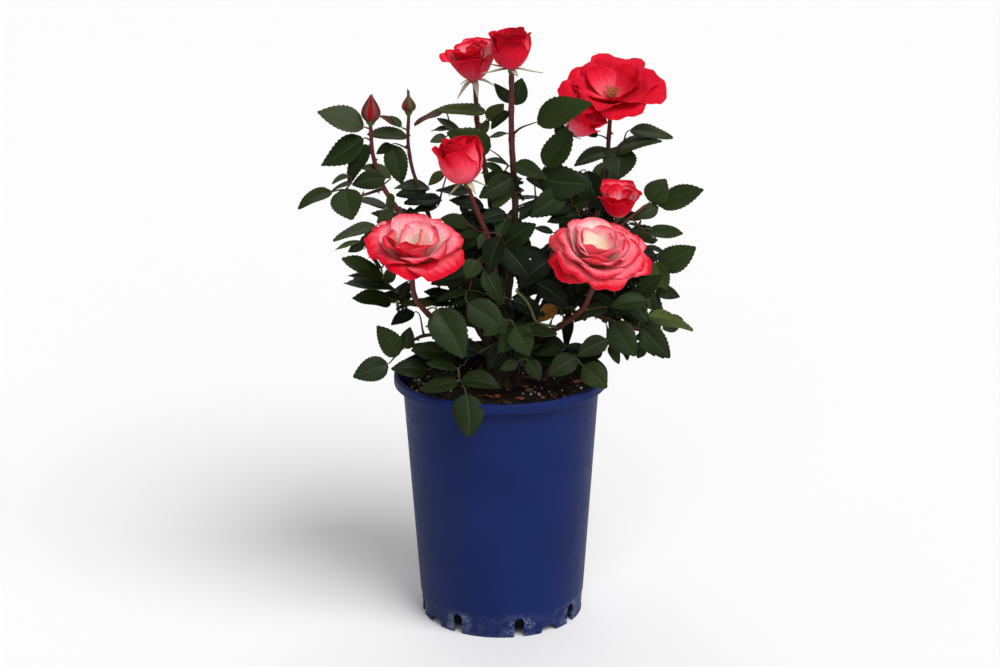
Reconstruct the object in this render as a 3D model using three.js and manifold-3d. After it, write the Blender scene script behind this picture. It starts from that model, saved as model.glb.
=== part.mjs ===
// Rose bush growing in a moulded nursery pot.
// Millimetres, +Z up. The origin is on the pot's axis, on its flat underside. The front faces -Y.
import * as THREE from 'three';
import { mergeVertices } from 'three/addons/utils/BufferGeometryUtils.js';
import Module from 'manifold-3d';

const wasm = await Module();
wasm.setup();

// ---------------------------------------------------------------- driving dimensions

const GAP = 0.35; // clearance between pieces that meet
const SLACK = 1; // how far a cut runs past a surface, and how near counts as on it

const POT = {
  height: 237.5,
  rimR: 100, // outside of the rolled lip
  neckR: 91.9, // outside of the wall just under the lip
  footR: 76.7, // outside of the wall at the foot
  wall: 1.6,
  lipDrop: 9.6, // height of the lip
  lipRound: 2.4,
  lipWidth: 3.4, // from the outside of the lip to where its top starts to fall inwards
  lipRise: 0.8, // how much the underside of the lip rises outwards
  shoulder: 1.5, // how far below the lip's underside the inner wall starts
  floor: 2.2,
  padR: 62, // the flat disc that the pot stands on
  padDraft: 2, // how far the disc's side leans out
  gutterRise: 6.8, // underside of the ring between the disc and the foot
  gutterWidth: 10.6,
  gutterDraft: 0.8,
  segments: 30,
};

const DRAIN = {
  slots: 8, slotWidth: 9.6, slotHeight: 19,
  notches: 4, notchWidth: 18, notchTop: 13, notchHeight: 6.5,
};
const DRAIN_START = { slot: -78, notch: 35 }; // degrees from the front, turning towards +X
const DRAIN_CUT = { inside: 8, length: 18, arcSteps: 2 }; // a cut starts this far inside the foot

const MIX = {
  topZ: 224.6, edgeDrop: 3.2, shoulderR: 60, shoulderDrop: 0.8, flatR: 24,
  swell: 1.3, // how uneven the surface is
  sideGap: 0.6,
};
const INSIDE_CLEARANCE = 2.4; // how far the plant stays off the inside of the pot

const STEM = {
  centre: [2, 0],
  rings: [[0, 17.5], [5, 15.2], [16, 13.2], [27, 14.6], [34, 12.6], [39, 8.4]], // [height, radius]
  sides: 10,
  knobHeight: 0.07, // how uneven the graft is, as a share of the radius
  knobs: 3,
  knobTwist: 1.7, // turn from one ring to the next, in radians
};

const LIMB = { sides: 5, ringEvery: 30, fewestRings: 4 };

// Every cane starts inside the limb that carries it and is cut back to that limb's bark.
// r is the radius at its two ends.
const LIMBS = [
  { name: 'cane_centre', r: [4.8, 2.4],
    path: [[2, 3, 254], [6, 6, 300], [11, 2, 350], [14, 1, 397], [11, 5, 456], [11, 5, 516]] },
  { name: 'cane_left', r: [4.4, 1.7],
    path: [[-4, -1, 252], [-26, -6, 290], [-58, -14, 345], [-90, -15, 393], [-105, -12, 416],
      [-114, -10, 444], [-116, -10, 473]] },
  { name: 'cane_right', r: [4.6, 1.9],
    path: [[6, 2, 254], [34, 6, 290], [62, 9, 330], [84, 15, 370], [99, 25, 417], [100, 28, 445],
      [102, 30, 482]] },
  { name: 'cane_front_centre', r: [3.8, 2.0],
    path: [[1, -5, 254], [0, -24, 300], [-4, -34, 339], [-11, -42, 377], [-20, -50, 402], [-28, -57, 426]] },
  { name: 'cane_front_left', r: [3.8, 2.2],
    path: [[-3, -5, 250], [-30, -30, 276], [-58, -56, 303], [-76, -73, 330], [-78, -80, 352]] },
  { name: 'cane_front_right', r: [3.8, 2.3],
    path: [[6, -5, 250], [30, -30, 276], [58, -54, 300], [74, -68, 318], [82, -78, 340]] },
  { name: 'cane_rear_left', r: [4.2, 1.6],
    path: [[-3, 5, 252], [-26, 36, 284], [-50, 58, 318], [-68, 64, 352]] },
  { name: 'cane_rear_centre', r: [4.0, 1.6],
    path: [[2, 6, 253], [4, 42, 290], [5, 68, 330], [3, 80, 366]] },
  { name: 'cane_rear_right', r: [4.2, 1.6],
    path: [[6, 5, 252], [30, 36, 286], [54, 58, 330], [72, 64, 376]] },
  { name: 'cane_top_left', r: [3.2, 2.2],
    path: [[6, 6, 300], [0, 20, 345], [-7, 25, 382], [-13, 32, 421], [-20, 40, 458], [-22, 45, 499]] },
  { name: 'cane_left_centre', r: [2.6, 1.5],
    path: [[-44, -10, 321], [-58, 8, 362], [-71, 20, 398], [-81, 24, 428], [-84, 25, 452], [-83, 25, 475]] },
  { name: 'cane_right_middle', r: [2.8, 1.8],
    path: [[62, 9, 330], [84, -10, 352], [98, -22, 370], [106, -28, 391]] },
  { name: 'shoot_left', r: [1.8, 1.1],
    path: [[-105, -12, 416], [-120, -22, 413], [-136, -30, 410]] },
  { name: 'shoot_right', r: [1.8, 1.2],
    path: [[98, -22, 370], [114, -20, 386], [132, -12, 398]] },
  { name: 'shoot_low_left', r: [2.3, 1.3],
    path: [[-30, -30, 276], [-52, -42, 285], [-72, -47, 286], [-96, -54, 272]] },
  { name: 'shoot_low_right', r: [2.4, 1.3],
    path: [[34, 6, 290], [70, -8, 297], [104, -22, 292], [132, -28, 284]] },
];

// seat is where the stalk ends, facing is the way the flower opens.
const BLOOMS = [
  { name: 'bloom_top_left', shape: 'cup', width: 50, depth: 42,
    seat: [-22, 45, 499], facing: [-0.26, -0.22, 0.94] },
  { name: 'bloom_top_centre', shape: 'urn', seat: [11, 5, 516], facing: [0, -0.1, 1], width: 38, depth: 39 },
  { name: 'bloom_right_large', shape: 'open', width: 98, depth: 42,
    seat: [102, 30, 482], facing: [0, -0.42, 0.9] },
  { name: 'bloom_right_under', shape: 'cup', width: 40, depth: 36,
    seat: [64, -4, 462], facing: [0.72, -0.25, 0.64] },
  { name: 'bloom_middle', shape: 'urn', width: 46, depth: 46,
    seat: [-28, -57, 426], facing: [-0.2, -0.08, 0.97] },
  { name: 'bloom_left_low', shape: 'open', width: 90, depth: 40,
    seat: [-78, -80, 352], facing: [0.05, -0.4, 0.91] },
  { name: 'bloom_right_low', shape: 'open', width: 99, depth: 38,
    seat: [82, -78, 340], facing: [0.05, -0.72, 0.69] },
  { name: 'bloom_right_small', shape: 'cup', width: 42, depth: 36,
    seat: [106, -28, 391], facing: [0.08, -0.3, 0.95] },
  { name: 'bud_left', shape: 'bud', seat: [-116, -10, 473], facing: [0.04, 0, 1], width: 17, depth: 30 },
  { name: 'bud_centre_left', shape: 'bud', seat: [-83, 25, 475], facing: [0, 0, 1], width: 13, depth: 22 },
];

// Outline of each kind of flower: [share of the depth, share of half the width].
const BLOOM_OUTLINES = {
  open: [[0, 0.06], [0.16, 0.12], [0.34, 0.62], [0.52, 1], [0.7, 0.93], [0.9, 0.55]],
  cup: [[0, 0.1], [0.16, 0.22], [0.36, 0.72], [0.66, 0.92], [0.88, 1], [1, 0.7]],
  urn: [[0, 0.12], [0.12, 0.3], [0.3, 0.82], [0.56, 1], [0.82, 0.92], [1, 0.62]],
  bud: [[0, 0.24], [0.18, 0.8], [0.4, 1], [0.7, 0.62], [1, 0.1]],
};
const BLOOM_FORM = { sides: 7, ruffle: 0.06, ruffles: 4, domeRise: 0.12 };

// Masses of leaves: tips are the furthest leaf ends that a mass reaches, and inner marks a mass that lies
// within the crown and is plainer.
const MASSES = [
  { name: 'leaves_left_upper', centre: [-142, -15, 464], radii: [20, 13, 26],
    tips: [[-163, -15, 489], [-161, -15, 437], [-122, -15, 480]] },
  { name: 'leaves_left_inner', centre: [-108, -20, 446], radii: [23, 17, 25],
    tips: [[-88, -25, 422], [-133, -25, 425]] },
  { name: 'leaves_left_tip', centre: [-152, -32, 412], radii: [26, 15, 16],
    tips: [[-186, -35, 403], [-131, -35, 391], [-148, -35, 433]] },
  { name: 'leaves_left_middle', centre: [-116, -26, 384], radii: [27, 24, 21],
    tips: [[-151, -30, 371], [-134, -30, 357], [-96, -28, 408], [-82, -16, 384]] },
  { name: 'leaves_left_lower', centre: [-113, -26, 330], radii: [25, 26, 23],
    tips: [[-143, -30, 354], [-141, -30, 332], [-135, -30, 314], [-76, -22, 326]] },
  { name: 'leaves_left_low', centre: [-103, -56, 271], radii: [28, 21, 23],
    tips: [[-135, -58, 251], [-113, -58, 296]] },
  { name: 'leaves_front_left', inner: true, centre: [-55, -72, 298], radii: [28, 20, 24],
    tips: [[-31, -76, 275]] },
  { name: 'leaves_rim_left', inner: true, centre: [-38, -80, 258], radii: [38, 15, 13],
    tips: [[1, -82, 258], [-74, -78, 250]] },
  { name: 'leaves_over_rim', inner: true, centre: [-30, -105, 231], radii: [12, 3.5, 14],
    tips: [[-30, -106, 210], [-32, -92, 252]] },
  { name: 'leaves_centre_left', inner: true, centre: [-60, 4, 362], radii: [34, 30, 22],
    tips: [[-86, 2, 398]] },
  { name: 'leaves_top_left', centre: [-44, 15, 465], radii: [30, 14, 18],
    tips: [[-78, 15, 469], [-59, 15, 482], [-46, 15, 441], [10, 5, 458]] },
  { name: 'leaves_top_centre', inner: true, centre: [6, 18, 480], radii: [17, 13, 27],
    tips: [[25, 22, 511], [-11, 24, 473]] },
  { name: 'leaves_centre_upper', inner: true, centre: [12, -8, 412], radii: [30, 24, 21],
    tips: [[-19, -12, 396], [44, -10, 436]] },
  { name: 'leaves_right_upper', centre: [60, -8, 462], radii: [26, 18, 29],
    tips: [[86, -10, 489], [33, -8, 436], [33, -8, 471]] },
  { name: 'leaves_right_top', centre: [113, 12, 444], radii: [36, 18, 21],
    tips: [[158, 12, 456], [151, 10, 444], [107, 12, 415]] },
  { name: 'leaves_centre_right_upper', inner: true, centre: [60, -10, 410], radii: [34, 24, 25],
    tips: [[35, -12, 398]] },
  { name: 'leaves_right_tip', centre: [152, -8, 402], radii: [26, 15, 16],
    tips: [[187, -8, 412], [145, -8, 423]] },
  { name: 'leaves_right_mid', centre: [147, -14, 344], radii: [26, 22, 30],
    tips: [[168, -12, 372], [180, -12, 359], [165, -16, 316], [144, -24, 302]] },
  { name: 'leaves_right_low', centre: [132, -30, 277], radii: [34, 20, 19],
    tips: [[176, -30, 290], [156, -30, 258], [102, -32, 256]] },
  { name: 'leaves_rim_right', inner: true, centre: [68, -62, 262], radii: [28, 18, 18],
    tips: [[97, -64, 246]] },
  { name: 'leaves_centre', inner: true, centre: [10, -14, 368], radii: [36, 28, 26] },
  { name: 'leaves_mid_left', inner: true, centre: [-44, -18, 318], radii: [42, 28, 25] },
  { name: 'leaves_mid_right', inner: true, centre: [48, -14, 322], radii: [44, 30, 28] },
  { name: 'leaves_front_centre', inner: true, centre: [12, -72, 284], radii: [37, 18, 29],
    tips: [[32, -34, 279]] },
  { name: 'leaves_right_inner', inner: true, centre: [100, 14, 362], radii: [34, 28, 28] },
  { name: 'leaves_rear_left_upper', inner: true, centre: [-70, 62, 352], radii: [46, 36, 27],
    tips: [[-106, 92, 360]] },
  { name: 'leaves_rear_right_upper', inner: true, centre: [74, 64, 372], radii: [46, 36, 34],
    tips: [[112, 92, 388]] },
  { name: 'leaves_rear_left', inner: true, centre: [-98, 50, 298], radii: [46, 42, 29],
    tips: [[-146, 66, 306]] },
  { name: 'leaves_rear_right', inner: true, centre: [104, 52, 302], radii: [46, 42, 32],
    tips: [[152, 66, 312]] },
  { name: 'leaves_rear_centre', inner: true, centre: [2, 80, 360], radii: [38, 42, 32],
    tips: [[4, 132, 372]] },
  { name: 'leaves_rear_low', centre: [0, 92, 284], radii: [80, 40, 27],
    tips: [[-40, 138, 280], [46, 138, 286]] },
];
const MASS_FORM = {
  detail: 2,
  innerDetail: 1,
  lobes: 10,
  lobeHeight: 0.55,
  lobeFill: 0.4, // share of the lobes that sink in rather than stand out
  lobeSharpness: 9,
  tipSharpness: 16,
  tipPull: 0.6, // how far the points near a tip follow it
};

const LOOKS = {
  pot: { color: 0x1f2f78, roughness: 0.42, metalness: 0 },
  mix: { color: 0x1c1815, roughness: 0.97, metalness: 0 },
  bark: { color: 0x5a4a35, roughness: 0.8, metalness: 0 },
  cane: { color: 0x5b3a2c, roughness: 0.6, metalness: 0 },
  petal: { color: 0xc81f3c, roughness: 0.6, metalness: 0 },
  leaf: { color: 0x2f3f26, roughness: 0.5, metalness: 0 },
};

// ---------------------------------------------------------------- small tools

const vector = (xyz) => new THREE.Vector3(...xyz);
const radians = THREE.MathUtils.degToRad;

/** A repeatable random number function for a piece, seeded by its name. */
function randomFor(name) {
  let state = [...name].reduce((sum, letter) => (sum * 31 + letter.charCodeAt(0)) >>> 0, 7);
  return () => {
    state = (state + 0x6d2b79f5) >>> 0;
    let mixed = Math.imul(state ^ (state >>> 15), 1 | state);
    mixed = (mixed + Math.imul(mixed ^ (mixed >>> 7), 61 | mixed)) ^ mixed;
    return ((mixed ^ (mixed >>> 14)) >>> 0) / 2 ** 32;
  };
}

function randomDirection(random) {
  const rise = random() * 2 - 1;
  const turn = random() * Math.PI * 2;
  const flat = Math.sqrt(1 - rise * rise);
  return new THREE.Vector3(flat * Math.cos(turn), flat * Math.sin(turn), rise);
}

/** Keeps only the positions of a geometry and joins the vertices that coincide. */
function welded(geometry) {
  geometry.deleteAttribute('normal');
  geometry.deleteAttribute('uv');
  return mergeVertices(geometry);
}

/** A solid of revolution about +Z from a profile of [radius, height]. */
function turned(profile, segments) {
  const geometry = new THREE.LatheGeometry(profile.map(([r, z]) => new THREE.Vector2(r, z)), segments);
  return welded(geometry.rotateX(Math.PI / 2));
}

function toManifold(geometry) {
  return new wasm.Manifold(new wasm.Mesh({
    numProp: 3,
    vertProperties: new Float32Array(geometry.attributes.position.array),
    triVerts: new Uint32Array(geometry.index.array),
  }));
}

function fromManifold(solid) {
  const mesh = solid.getMesh();
  const geometry = new THREE.BufferGeometry();
  geometry.setAttribute('position', new THREE.BufferAttribute(new Float32Array(mesh.vertProperties), 3));
  geometry.setIndex(new THREE.BufferAttribute(new Uint32Array(mesh.triVerts), 1));
  return geometry;
}

/** The largest separate body of a solid that a cut may have divided. */
function largestBody(solid) {
  const bodies = solid.decompose();
  return bodies.reduce((best, body) => (body.volume() > best.volume() ? body : best));
}

/** A closed skin over rings of points, with each end closed by a fan round its middle. */
function skinOver(rings) {
  const sides = rings[0].length;
  const sumOf = (ring) => ring.reduce((sum, point) => sum.add(point), new THREE.Vector3());
  const middleOf = (ring) => sumOf(ring).divideScalar(sides);
  const points = [...rings.flat(), middleOf(rings[0]), middleOf(rings.at(-1))];
  const firstMiddle = rings.length * sides;
  const lastRing = (rings.length - 1) * sides;
  const faces = [];
  for (let side = 0; side < sides; side += 1) {
    const next = (side + 1) % sides;
    for (let ring = 0; ring < lastRing; ring += sides) {
      faces.push(ring + side, ring + next, ring + sides + next);
      faces.push(ring + side, ring + sides + next, ring + sides + side);
    }
    faces.push(firstMiddle, next, side, firstMiddle + 1, lastRing + side, lastRing + next);
  }
  const geometry = new THREE.BufferGeometry().setFromPoints(points);
  geometry.setIndex(faces);
  return geometry;
}

/** One ring of points round a centre, square to an axis; radiusAt gives the radius at each angle. */
function ringRound(centre, axis, sides, radiusAt) {
  const turn = new THREE.Quaternion().setFromUnitVectors(new THREE.Vector3(0, 0, 1), axis);
  return Array.from({ length: sides }, (_, side) => {
    const angle = (side / sides) * Math.PI * 2;
    const spoke = new THREE.Vector3(Math.cos(angle), Math.sin(angle), 0).multiplyScalar(radiusAt(angle));
    return spoke.applyQuaternion(turn).add(centre);
  });
}

// ---------------------------------------------------------------- the pot and its potting mix

/** Radius of the outside of the pot's wall at a height. */
function wallRadius(z) {
  return THREE.MathUtils.lerp(POT.footR, POT.neckR, z / (POT.height - POT.lipDrop));
}

function potProfile() {
  const neckZ = POT.height - POT.lipDrop;
  const padOuterR = POT.padR + POT.padDraft;
  const gutterOuterR = padOuterR + POT.gutterWidth;
  const floorTop = POT.gutterRise + POT.floor;
  return [
    [0, 0], [POT.padR, 0], [padOuterR, POT.gutterRise], [gutterOuterR - POT.gutterDraft, POT.gutterRise],
    [gutterOuterR, 0], [POT.footR, 0], [POT.neckR, neckZ], [POT.rimR, neckZ + POT.lipRise],
    [POT.rimR, POT.height - POT.lipRound], [POT.rimR - POT.lipWidth, POT.height],
    [POT.neckR - POT.wall, neckZ - POT.shoulder], [wallRadius(floorTop) - POT.wall, floorTop],
    [padOuterR - POT.wall, floorTop], [POT.padR - POT.wall, POT.floor], [0, POT.floor],
  ];
}

/** A cutter that passes through the wall of the foot at an angle, from an outline of [across, up]. */
function footCutter(outline, degrees) {
  const { inside, length, arcSteps } = DRAIN_CUT;
  const extrusion = { depth: length, bevelEnabled: false, curveSegments: arcSteps };
  const geometry = new THREE.ExtrudeGeometry(outline, extrusion);
  geometry.rotateX(Math.PI / 2);
  geometry.translate(0, inside - POT.footR, 0);
  geometry.rotateZ(radians(degrees));
  return toManifold(welded(geometry));
}

function slotOutline() {
  const half = DRAIN.slotWidth / 2;
  const shape = new THREE.Shape();
  shape.moveTo(-half, -SLACK);
  shape.lineTo(half, -SLACK);
  shape.lineTo(half, DRAIN.slotHeight - half);
  shape.absarc(0, DRAIN.slotHeight - half, half, 0, Math.PI, false);
  return shape;
}

function notchOutline() {
  const bottom = DRAIN.notchWidth / 2;
  const top = DRAIN.notchTop / 2;
  const corners = [[-bottom, -SLACK], [bottom, -SLACK], [top, DRAIN.notchHeight], [-top, DRAIN.notchHeight]];
  return new THREE.Shape(corners.map(([x, y]) => new THREE.Vector2(x, y)));
}

function potGeometry() {
  let pot = toManifold(turned(potProfile(), POT.segments));
  for (let i = 0; i < DRAIN.slots; i += 1) {
    pot = pot.subtract(footCutter(slotOutline(), DRAIN_START.slot + (i * 360) / DRAIN.slots));
  }
  for (let i = 0; i < DRAIN.notches; i += 1) {
    pot = pot.subtract(footCutter(notchOutline(), DRAIN_START.notch + (i * 360) / DRAIN.notches));
  }
  return fromManifold(pot);
}

function mixGeometry() {
  const floorTop = POT.gutterRise + POT.floor + GAP;
  const skin = POT.wall + MIX.sideGap;
  const edgeZ = MIX.topZ - MIX.edgeDrop;
  const profile = [
    [0, POT.floor + GAP], [POT.padR - skin, POT.floor + GAP], [POT.padR + POT.padDraft - skin, floorTop],
    [wallRadius(floorTop) - skin, floorTop], [wallRadius(edgeZ) - skin, edgeZ],
    [MIX.shoulderR, MIX.topZ - MIX.shoulderDrop], [MIX.flatR, MIX.topZ], [0, MIX.topZ],
  ];
  const geometry = turned(profile, POT.segments / 2);
  const random = randomFor('potting_mix');
  const position = geometry.attributes.position;
  for (let i = 0; i < position.count; i += 1) {
    const fromAxis = Math.hypot(position.getX(i), position.getY(i));
    if (position.getZ(i) > edgeZ - SLACK && fromAxis > MIX.flatR + SLACK) {
      position.setZ(i, position.getZ(i) + (random() * 2 - 1) * MIX.swell);
    }
  }
  return geometry;
}

// ---------------------------------------------------------------- the woody limbs

/** The short graft union: a flat cut at the surface of the mix, a flare, and a knob where the canes fork. */
function stemGeometry(grow) {
  const up = new THREE.Vector3(0, 0, 1);
  const foot = MIX.topZ + GAP;
  const top = STEM.rings.at(-1)[0];
  const rings = STEM.rings.map(([height, radius], level) => ringRound(
    new THREE.Vector3(...STEM.centre, foot + height + grow * ((2 * height) / top - 1)), up, STEM.sides,
    (angle) => radius * (1 + STEM.knobHeight * Math.sin(STEM.knobs * angle + level * STEM.knobTwist)) + grow,
  ));
  return skinOver(rings);
}

/** One tapering limb along a smooth curve. */
function limbGeometry({ path, r }, grow) {
  const curve = new THREE.CatmullRomCurve3(path.map(vector));
  const steps = Math.max(LIMB.fewestRings, Math.round(curve.getLength() / LIMB.ringEvery));
  const rings = Array.from({ length: steps + 1 }, (_, step) => {
    const along = step / steps;
    const axis = curve.getTangentAt(along);
    const centre = curve.getPointAt(along).addScaledVector(axis, grow * (2 * along - 1));
    return ringRound(centre, axis, LIMB.sides, () => THREE.MathUtils.lerp(r[0], r[1], along) + grow);
  });
  return skinOver(rings);
}

// ---------------------------------------------------------------- flowers and leaves

function bloomGeometry({ name, shape, seat, facing, width, depth }, grow) {
  const axis = vector(facing).normalize();
  const phase = randomFor(name)() * Math.PI * 2;
  const rings = BLOOM_OUTLINES[shape].map(([rise, spread], level) => {
    const centre = vector(seat).addScaledVector(axis, GAP + rise * depth + grow * (2 * rise - 1));
    const ruffle = (angle) => 1 + BLOOM_FORM.ruffle * Math.sin(BLOOM_FORM.ruffles * angle + phase + level);
    return ringRound(centre, axis, BLOOM_FORM.sides, (angle) => (width / 2) * spread * ruffle(angle) + grow);
  });
  const geometry = skinOver(rings);
  const crownMiddle = geometry.attributes.position.count - 1;
  const crown = vector(seat).addScaledVector(axis, GAP + depth * (1 + BLOOM_FORM.domeRise) + grow);
  geometry.attributes.position.setXYZ(crownMiddle, crown.x, crown.y, crown.z);
  return geometry;
}

/** A closed, uneven mass of leaves: a ball with seeded lobes, drawn out to the tips that are named for it. */
function massGeometry({ name, centre, radii, tips = [], inner = false }, grow) {
  const geometry = welded(new THREE.IcosahedronGeometry(1, inner ? MASS_FORM.innerDetail : MASS_FORM.detail));
  const random = randomFor(name);
  const lobes = Array.from({ length: MASS_FORM.lobes }, () => ({
    direction: randomDirection(random),
    height: MASS_FORM.lobeHeight * (random() - MASS_FORM.lobeFill),
  }));
  const middle = vector(centre);
  const position = geometry.attributes.position;
  const points = Array.from({ length: position.count }, (_, i) => {
    const direction = new THREE.Vector3().fromBufferAttribute(position, i).normalize();
    const swell = lobes.reduce((sum, lobe) => sum
      + lobe.height * Math.exp(MASS_FORM.lobeSharpness * (direction.dot(lobe.direction) - 1)), 1);
    return direction.multiplyScalar(swell).multiply(vector(radii));
  });
  for (const tip of tips) {
    const reach = vector(tip).sub(middle);
    const nearness = points.map((point) => point.clone().normalize().dot(reach.clone().normalize()));
    const nearest = nearness.indexOf(Math.max(...nearness));
    points.forEach((point, i) => {
      const pull = Math.exp(MASS_FORM.tipSharpness * (nearness[i] - 1));
      point.lerp(reach, i === nearest ? 1 : pull * MASS_FORM.tipPull);
    });
  }
  points.forEach((point, i) => {
    point.setLength(point.length() + grow).add(middle);
    position.setXYZ(i, point.x, point.y, point.z);
  });
  return geometry;
}

// ---------------------------------------------------------------- assembly

const rose = new THREE.Group();
const placed = []; // what later pieces are cut back from: { box, solid }

/** Adds a piece, cut back from the pieces already there; shapeAt(grow) gives its shape, swollen by grow. */
function addPiece(name, look, shapeAt) {
  const plain = shapeAt(0);
  plain.computeBoundingBox();
  let solid = toManifold(plain);
  for (const other of placed) {
    if (other.box.intersectsBox(plain.boundingBox)) {
      solid = solid.subtract(other.solid);
    }
  }
  const material = new THREE.MeshStandardMaterial(LOOKS[look]);
  const mesh = new THREE.Mesh(fromManifold(largestBody(solid)), material);
  mesh.name = name;
  rose.add(mesh);
  const swollen = shapeAt(GAP);
  swollen.computeBoundingBox();
  placed.push({ box: swollen.boundingBox, solid: toManifold(swollen) });
}

/** Keeps later pieces out of the pot and the mix: a plain cone over both. */
function keepClearOfPot() {
  const neckZ = POT.height - POT.lipDrop;
  const outline = [
    [0, -SLACK], [POT.footR, -SLACK], [POT.neckR + GAP, neckZ - GAP], [POT.rimR + GAP, neckZ],
    [POT.rimR + GAP, POT.height + GAP], [POT.rimR - POT.lipWidth - INSIDE_CLEARANCE, POT.height + GAP],
    [POT.neckR - POT.wall - INSIDE_CLEARANCE, MIX.topZ], [0, MIX.topZ],
  ];
  const cone = turned(outline, POT.segments);
  cone.computeBoundingBox();
  placed.push({ box: cone.boundingBox, solid: toManifold(cone) });
}

function addFixed(name, look, geometry) {
  const mesh = new THREE.Mesh(geometry, new THREE.MeshStandardMaterial(LOOKS[look]));
  mesh.name = name;
  rose.add(mesh);
}

addFixed('pot', 'pot', potGeometry());
addFixed('potting_mix', 'mix', mixGeometry());
keepClearOfPot();
addPiece('main_stem', 'bark', stemGeometry);
LIMBS.forEach((limb) => addPiece(limb.name, 'cane', (grow) => limbGeometry(limb, grow)));
BLOOMS.forEach((bloom) => addPiece(bloom.name, 'petal', (grow) => bloomGeometry(bloom, grow)));
MASSES.forEach((mass) => addPiece(mass.name, 'leaf', (grow) => massGeometry(mass, grow)));

export default rose;
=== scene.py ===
"""The looks of a rose bush in its pot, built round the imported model.

Sizes and places are in millimetres until a mesh is made. +Z is up and the front faces -Y.
"""

import math
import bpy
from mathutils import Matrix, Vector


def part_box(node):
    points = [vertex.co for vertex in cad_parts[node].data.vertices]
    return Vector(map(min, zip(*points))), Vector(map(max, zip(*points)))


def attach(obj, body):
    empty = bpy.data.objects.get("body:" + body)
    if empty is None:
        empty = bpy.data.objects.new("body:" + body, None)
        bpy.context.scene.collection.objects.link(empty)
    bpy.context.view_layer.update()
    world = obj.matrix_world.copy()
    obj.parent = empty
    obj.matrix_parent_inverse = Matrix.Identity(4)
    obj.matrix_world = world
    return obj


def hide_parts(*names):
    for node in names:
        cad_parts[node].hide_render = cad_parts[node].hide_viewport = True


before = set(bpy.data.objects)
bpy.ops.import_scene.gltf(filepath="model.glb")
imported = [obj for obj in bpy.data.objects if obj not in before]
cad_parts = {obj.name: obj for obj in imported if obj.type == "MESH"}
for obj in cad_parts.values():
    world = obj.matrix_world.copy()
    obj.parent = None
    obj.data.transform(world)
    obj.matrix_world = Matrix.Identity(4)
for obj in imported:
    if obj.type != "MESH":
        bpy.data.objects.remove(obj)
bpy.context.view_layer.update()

import zlib

import bmesh
import bpy
import numpy as np
from mathutils import Matrix, Vector, noise

MM = 0.001
GOLDEN_TURN = math.radians(137.5)
TUBE_END = 0.6  # how far a tube's rounded end stands out, as a share of its radius
UP = np.array([0.0, 0.0, 1.0])

# ---------------------------------------------------------------- the view

PHOTO = {"width": 1000, "height": 667}
VIEW = {"elevation": 16.94, "roll": 0.32, "distance": 1998.0, "focal_px": 2146.6,
        "target": (-0.6, 0.0, 274.0)}
SENSOR = 36.0


def view_axes():
    """The camera's right, up and back directions, and its place."""
    rise, roll = math.radians(VIEW["elevation"]), math.radians(VIEW["roll"])
    level_right = np.array([1.0, 0.0, 0.0])
    level_up = np.array([0.0, math.sin(rise), math.cos(rise)])
    back = np.array([0.0, -math.cos(rise), math.sin(rise)])
    right = math.cos(roll) * level_right - math.sin(roll) * level_up
    up = math.sin(roll) * level_right + math.cos(roll) * level_up
    return right, up, back, np.array(VIEW["target"]) + back * VIEW["distance"]


RIGHT, SCREEN_UP, BACK, EYE = view_axes()


def at_pixel(u, v, depth):
    """The point seen at a pixel of the photograph, on the upright plane y = depth."""
    ray = RIGHT * (u - PHOTO["width"] / 2) - SCREEN_UP * (v - PHOTO["height"] / 2) - BACK * VIEW["focal_px"]
    return EYE + ray * (depth - EYE[1]) / ray[1]


def to_pixel(points):
    """Where points show in the photograph's frame."""
    away = np.asarray(points, float) - EYE
    scale = VIEW["focal_px"] / -(away @ BACK)
    return np.stack([PHOTO["width"] / 2 + (away @ RIGHT) * scale,
                     PHOTO["height"] / 2 - (away @ SCREEN_UP) * scale], axis=-1)


def in_scene(name, data):
    """A new object in the scene, from its mesh, lamp or camera."""
    thing = bpy.data.objects.new(name, data)
    bpy.context.scene.collection.objects.link(thing)
    return thing


def add_camera():
    data = bpy.data.cameras.new("camera")
    data.sensor_width = SENSOR
    data.lens = VIEW["focal_px"] * SENSOR / PHOTO["width"]
    turn = Matrix(np.column_stack([RIGHT, SCREEN_UP, BACK]).tolist()).to_quaternion()
    camera = in_scene("camera", data)
    camera.matrix_world = Matrix.LocRotScale(Vector(EYE * MM), turn, None)
    bpy.context.scene.camera = camera


# ---------------------------------------------------------------- small tools


def unit(v):
    v = np.asarray(v, float)
    return v / np.maximum(np.linalg.norm(v, axis=-1, keepdims=True), 1e-9)


def square_to(v, axis):
    """The unit part of v that is square to a unit axis."""
    return unit(v - axis * np.dot(v, axis))


def turned_round(v, axis, angle):
    """v turned about a unit axis."""
    across = np.cross(axis, v)
    return v * math.cos(angle) + across * math.sin(angle) + axis * np.dot(axis, v) * (1 - math.cos(angle))


def random_for(name):
    return np.random.default_rng(zlib.crc32(name.encode()))


def smooth_step(low, high, x):
    t = np.clip((x - low) / (high - low), 0, 1)
    return t * t * (3 - 2 * t)


def turns(count):
    """The angles of so many even steps round."""
    return np.arange(count) / count * 2 * math.pi


def curve_through(points, step):
    """Points about every step along a centripetal Catmull-Rom curve through the given points."""
    p = np.asarray(points, float)
    p = np.vstack([2 * p[0] - p[1], p, 2 * p[-1] - p[-2]])
    knots = np.concatenate([[0], np.cumsum(np.sqrt(np.linalg.norm(np.diff(p, axis=0), axis=1)))])
    dense = []
    for i in range(1, len(p) - 2):
        t = np.linspace(knots[i], knots[i + 1], 16)[:, None]

        def blend(j, k, first, second):
            return ((knots[k] - t) * first + (t - knots[j]) * second) / (knots[k] - knots[j])

        low, middle, high = (blend(i + j - 1, i + j, p[i + j - 1], p[i + j]) for j in range(3))
        dense.append(blend(i, i + 1, blend(i - 1, i + 1, low, middle), blend(i, i + 2, middle, high)))
    return evenly(np.vstack(dense), step)


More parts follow.
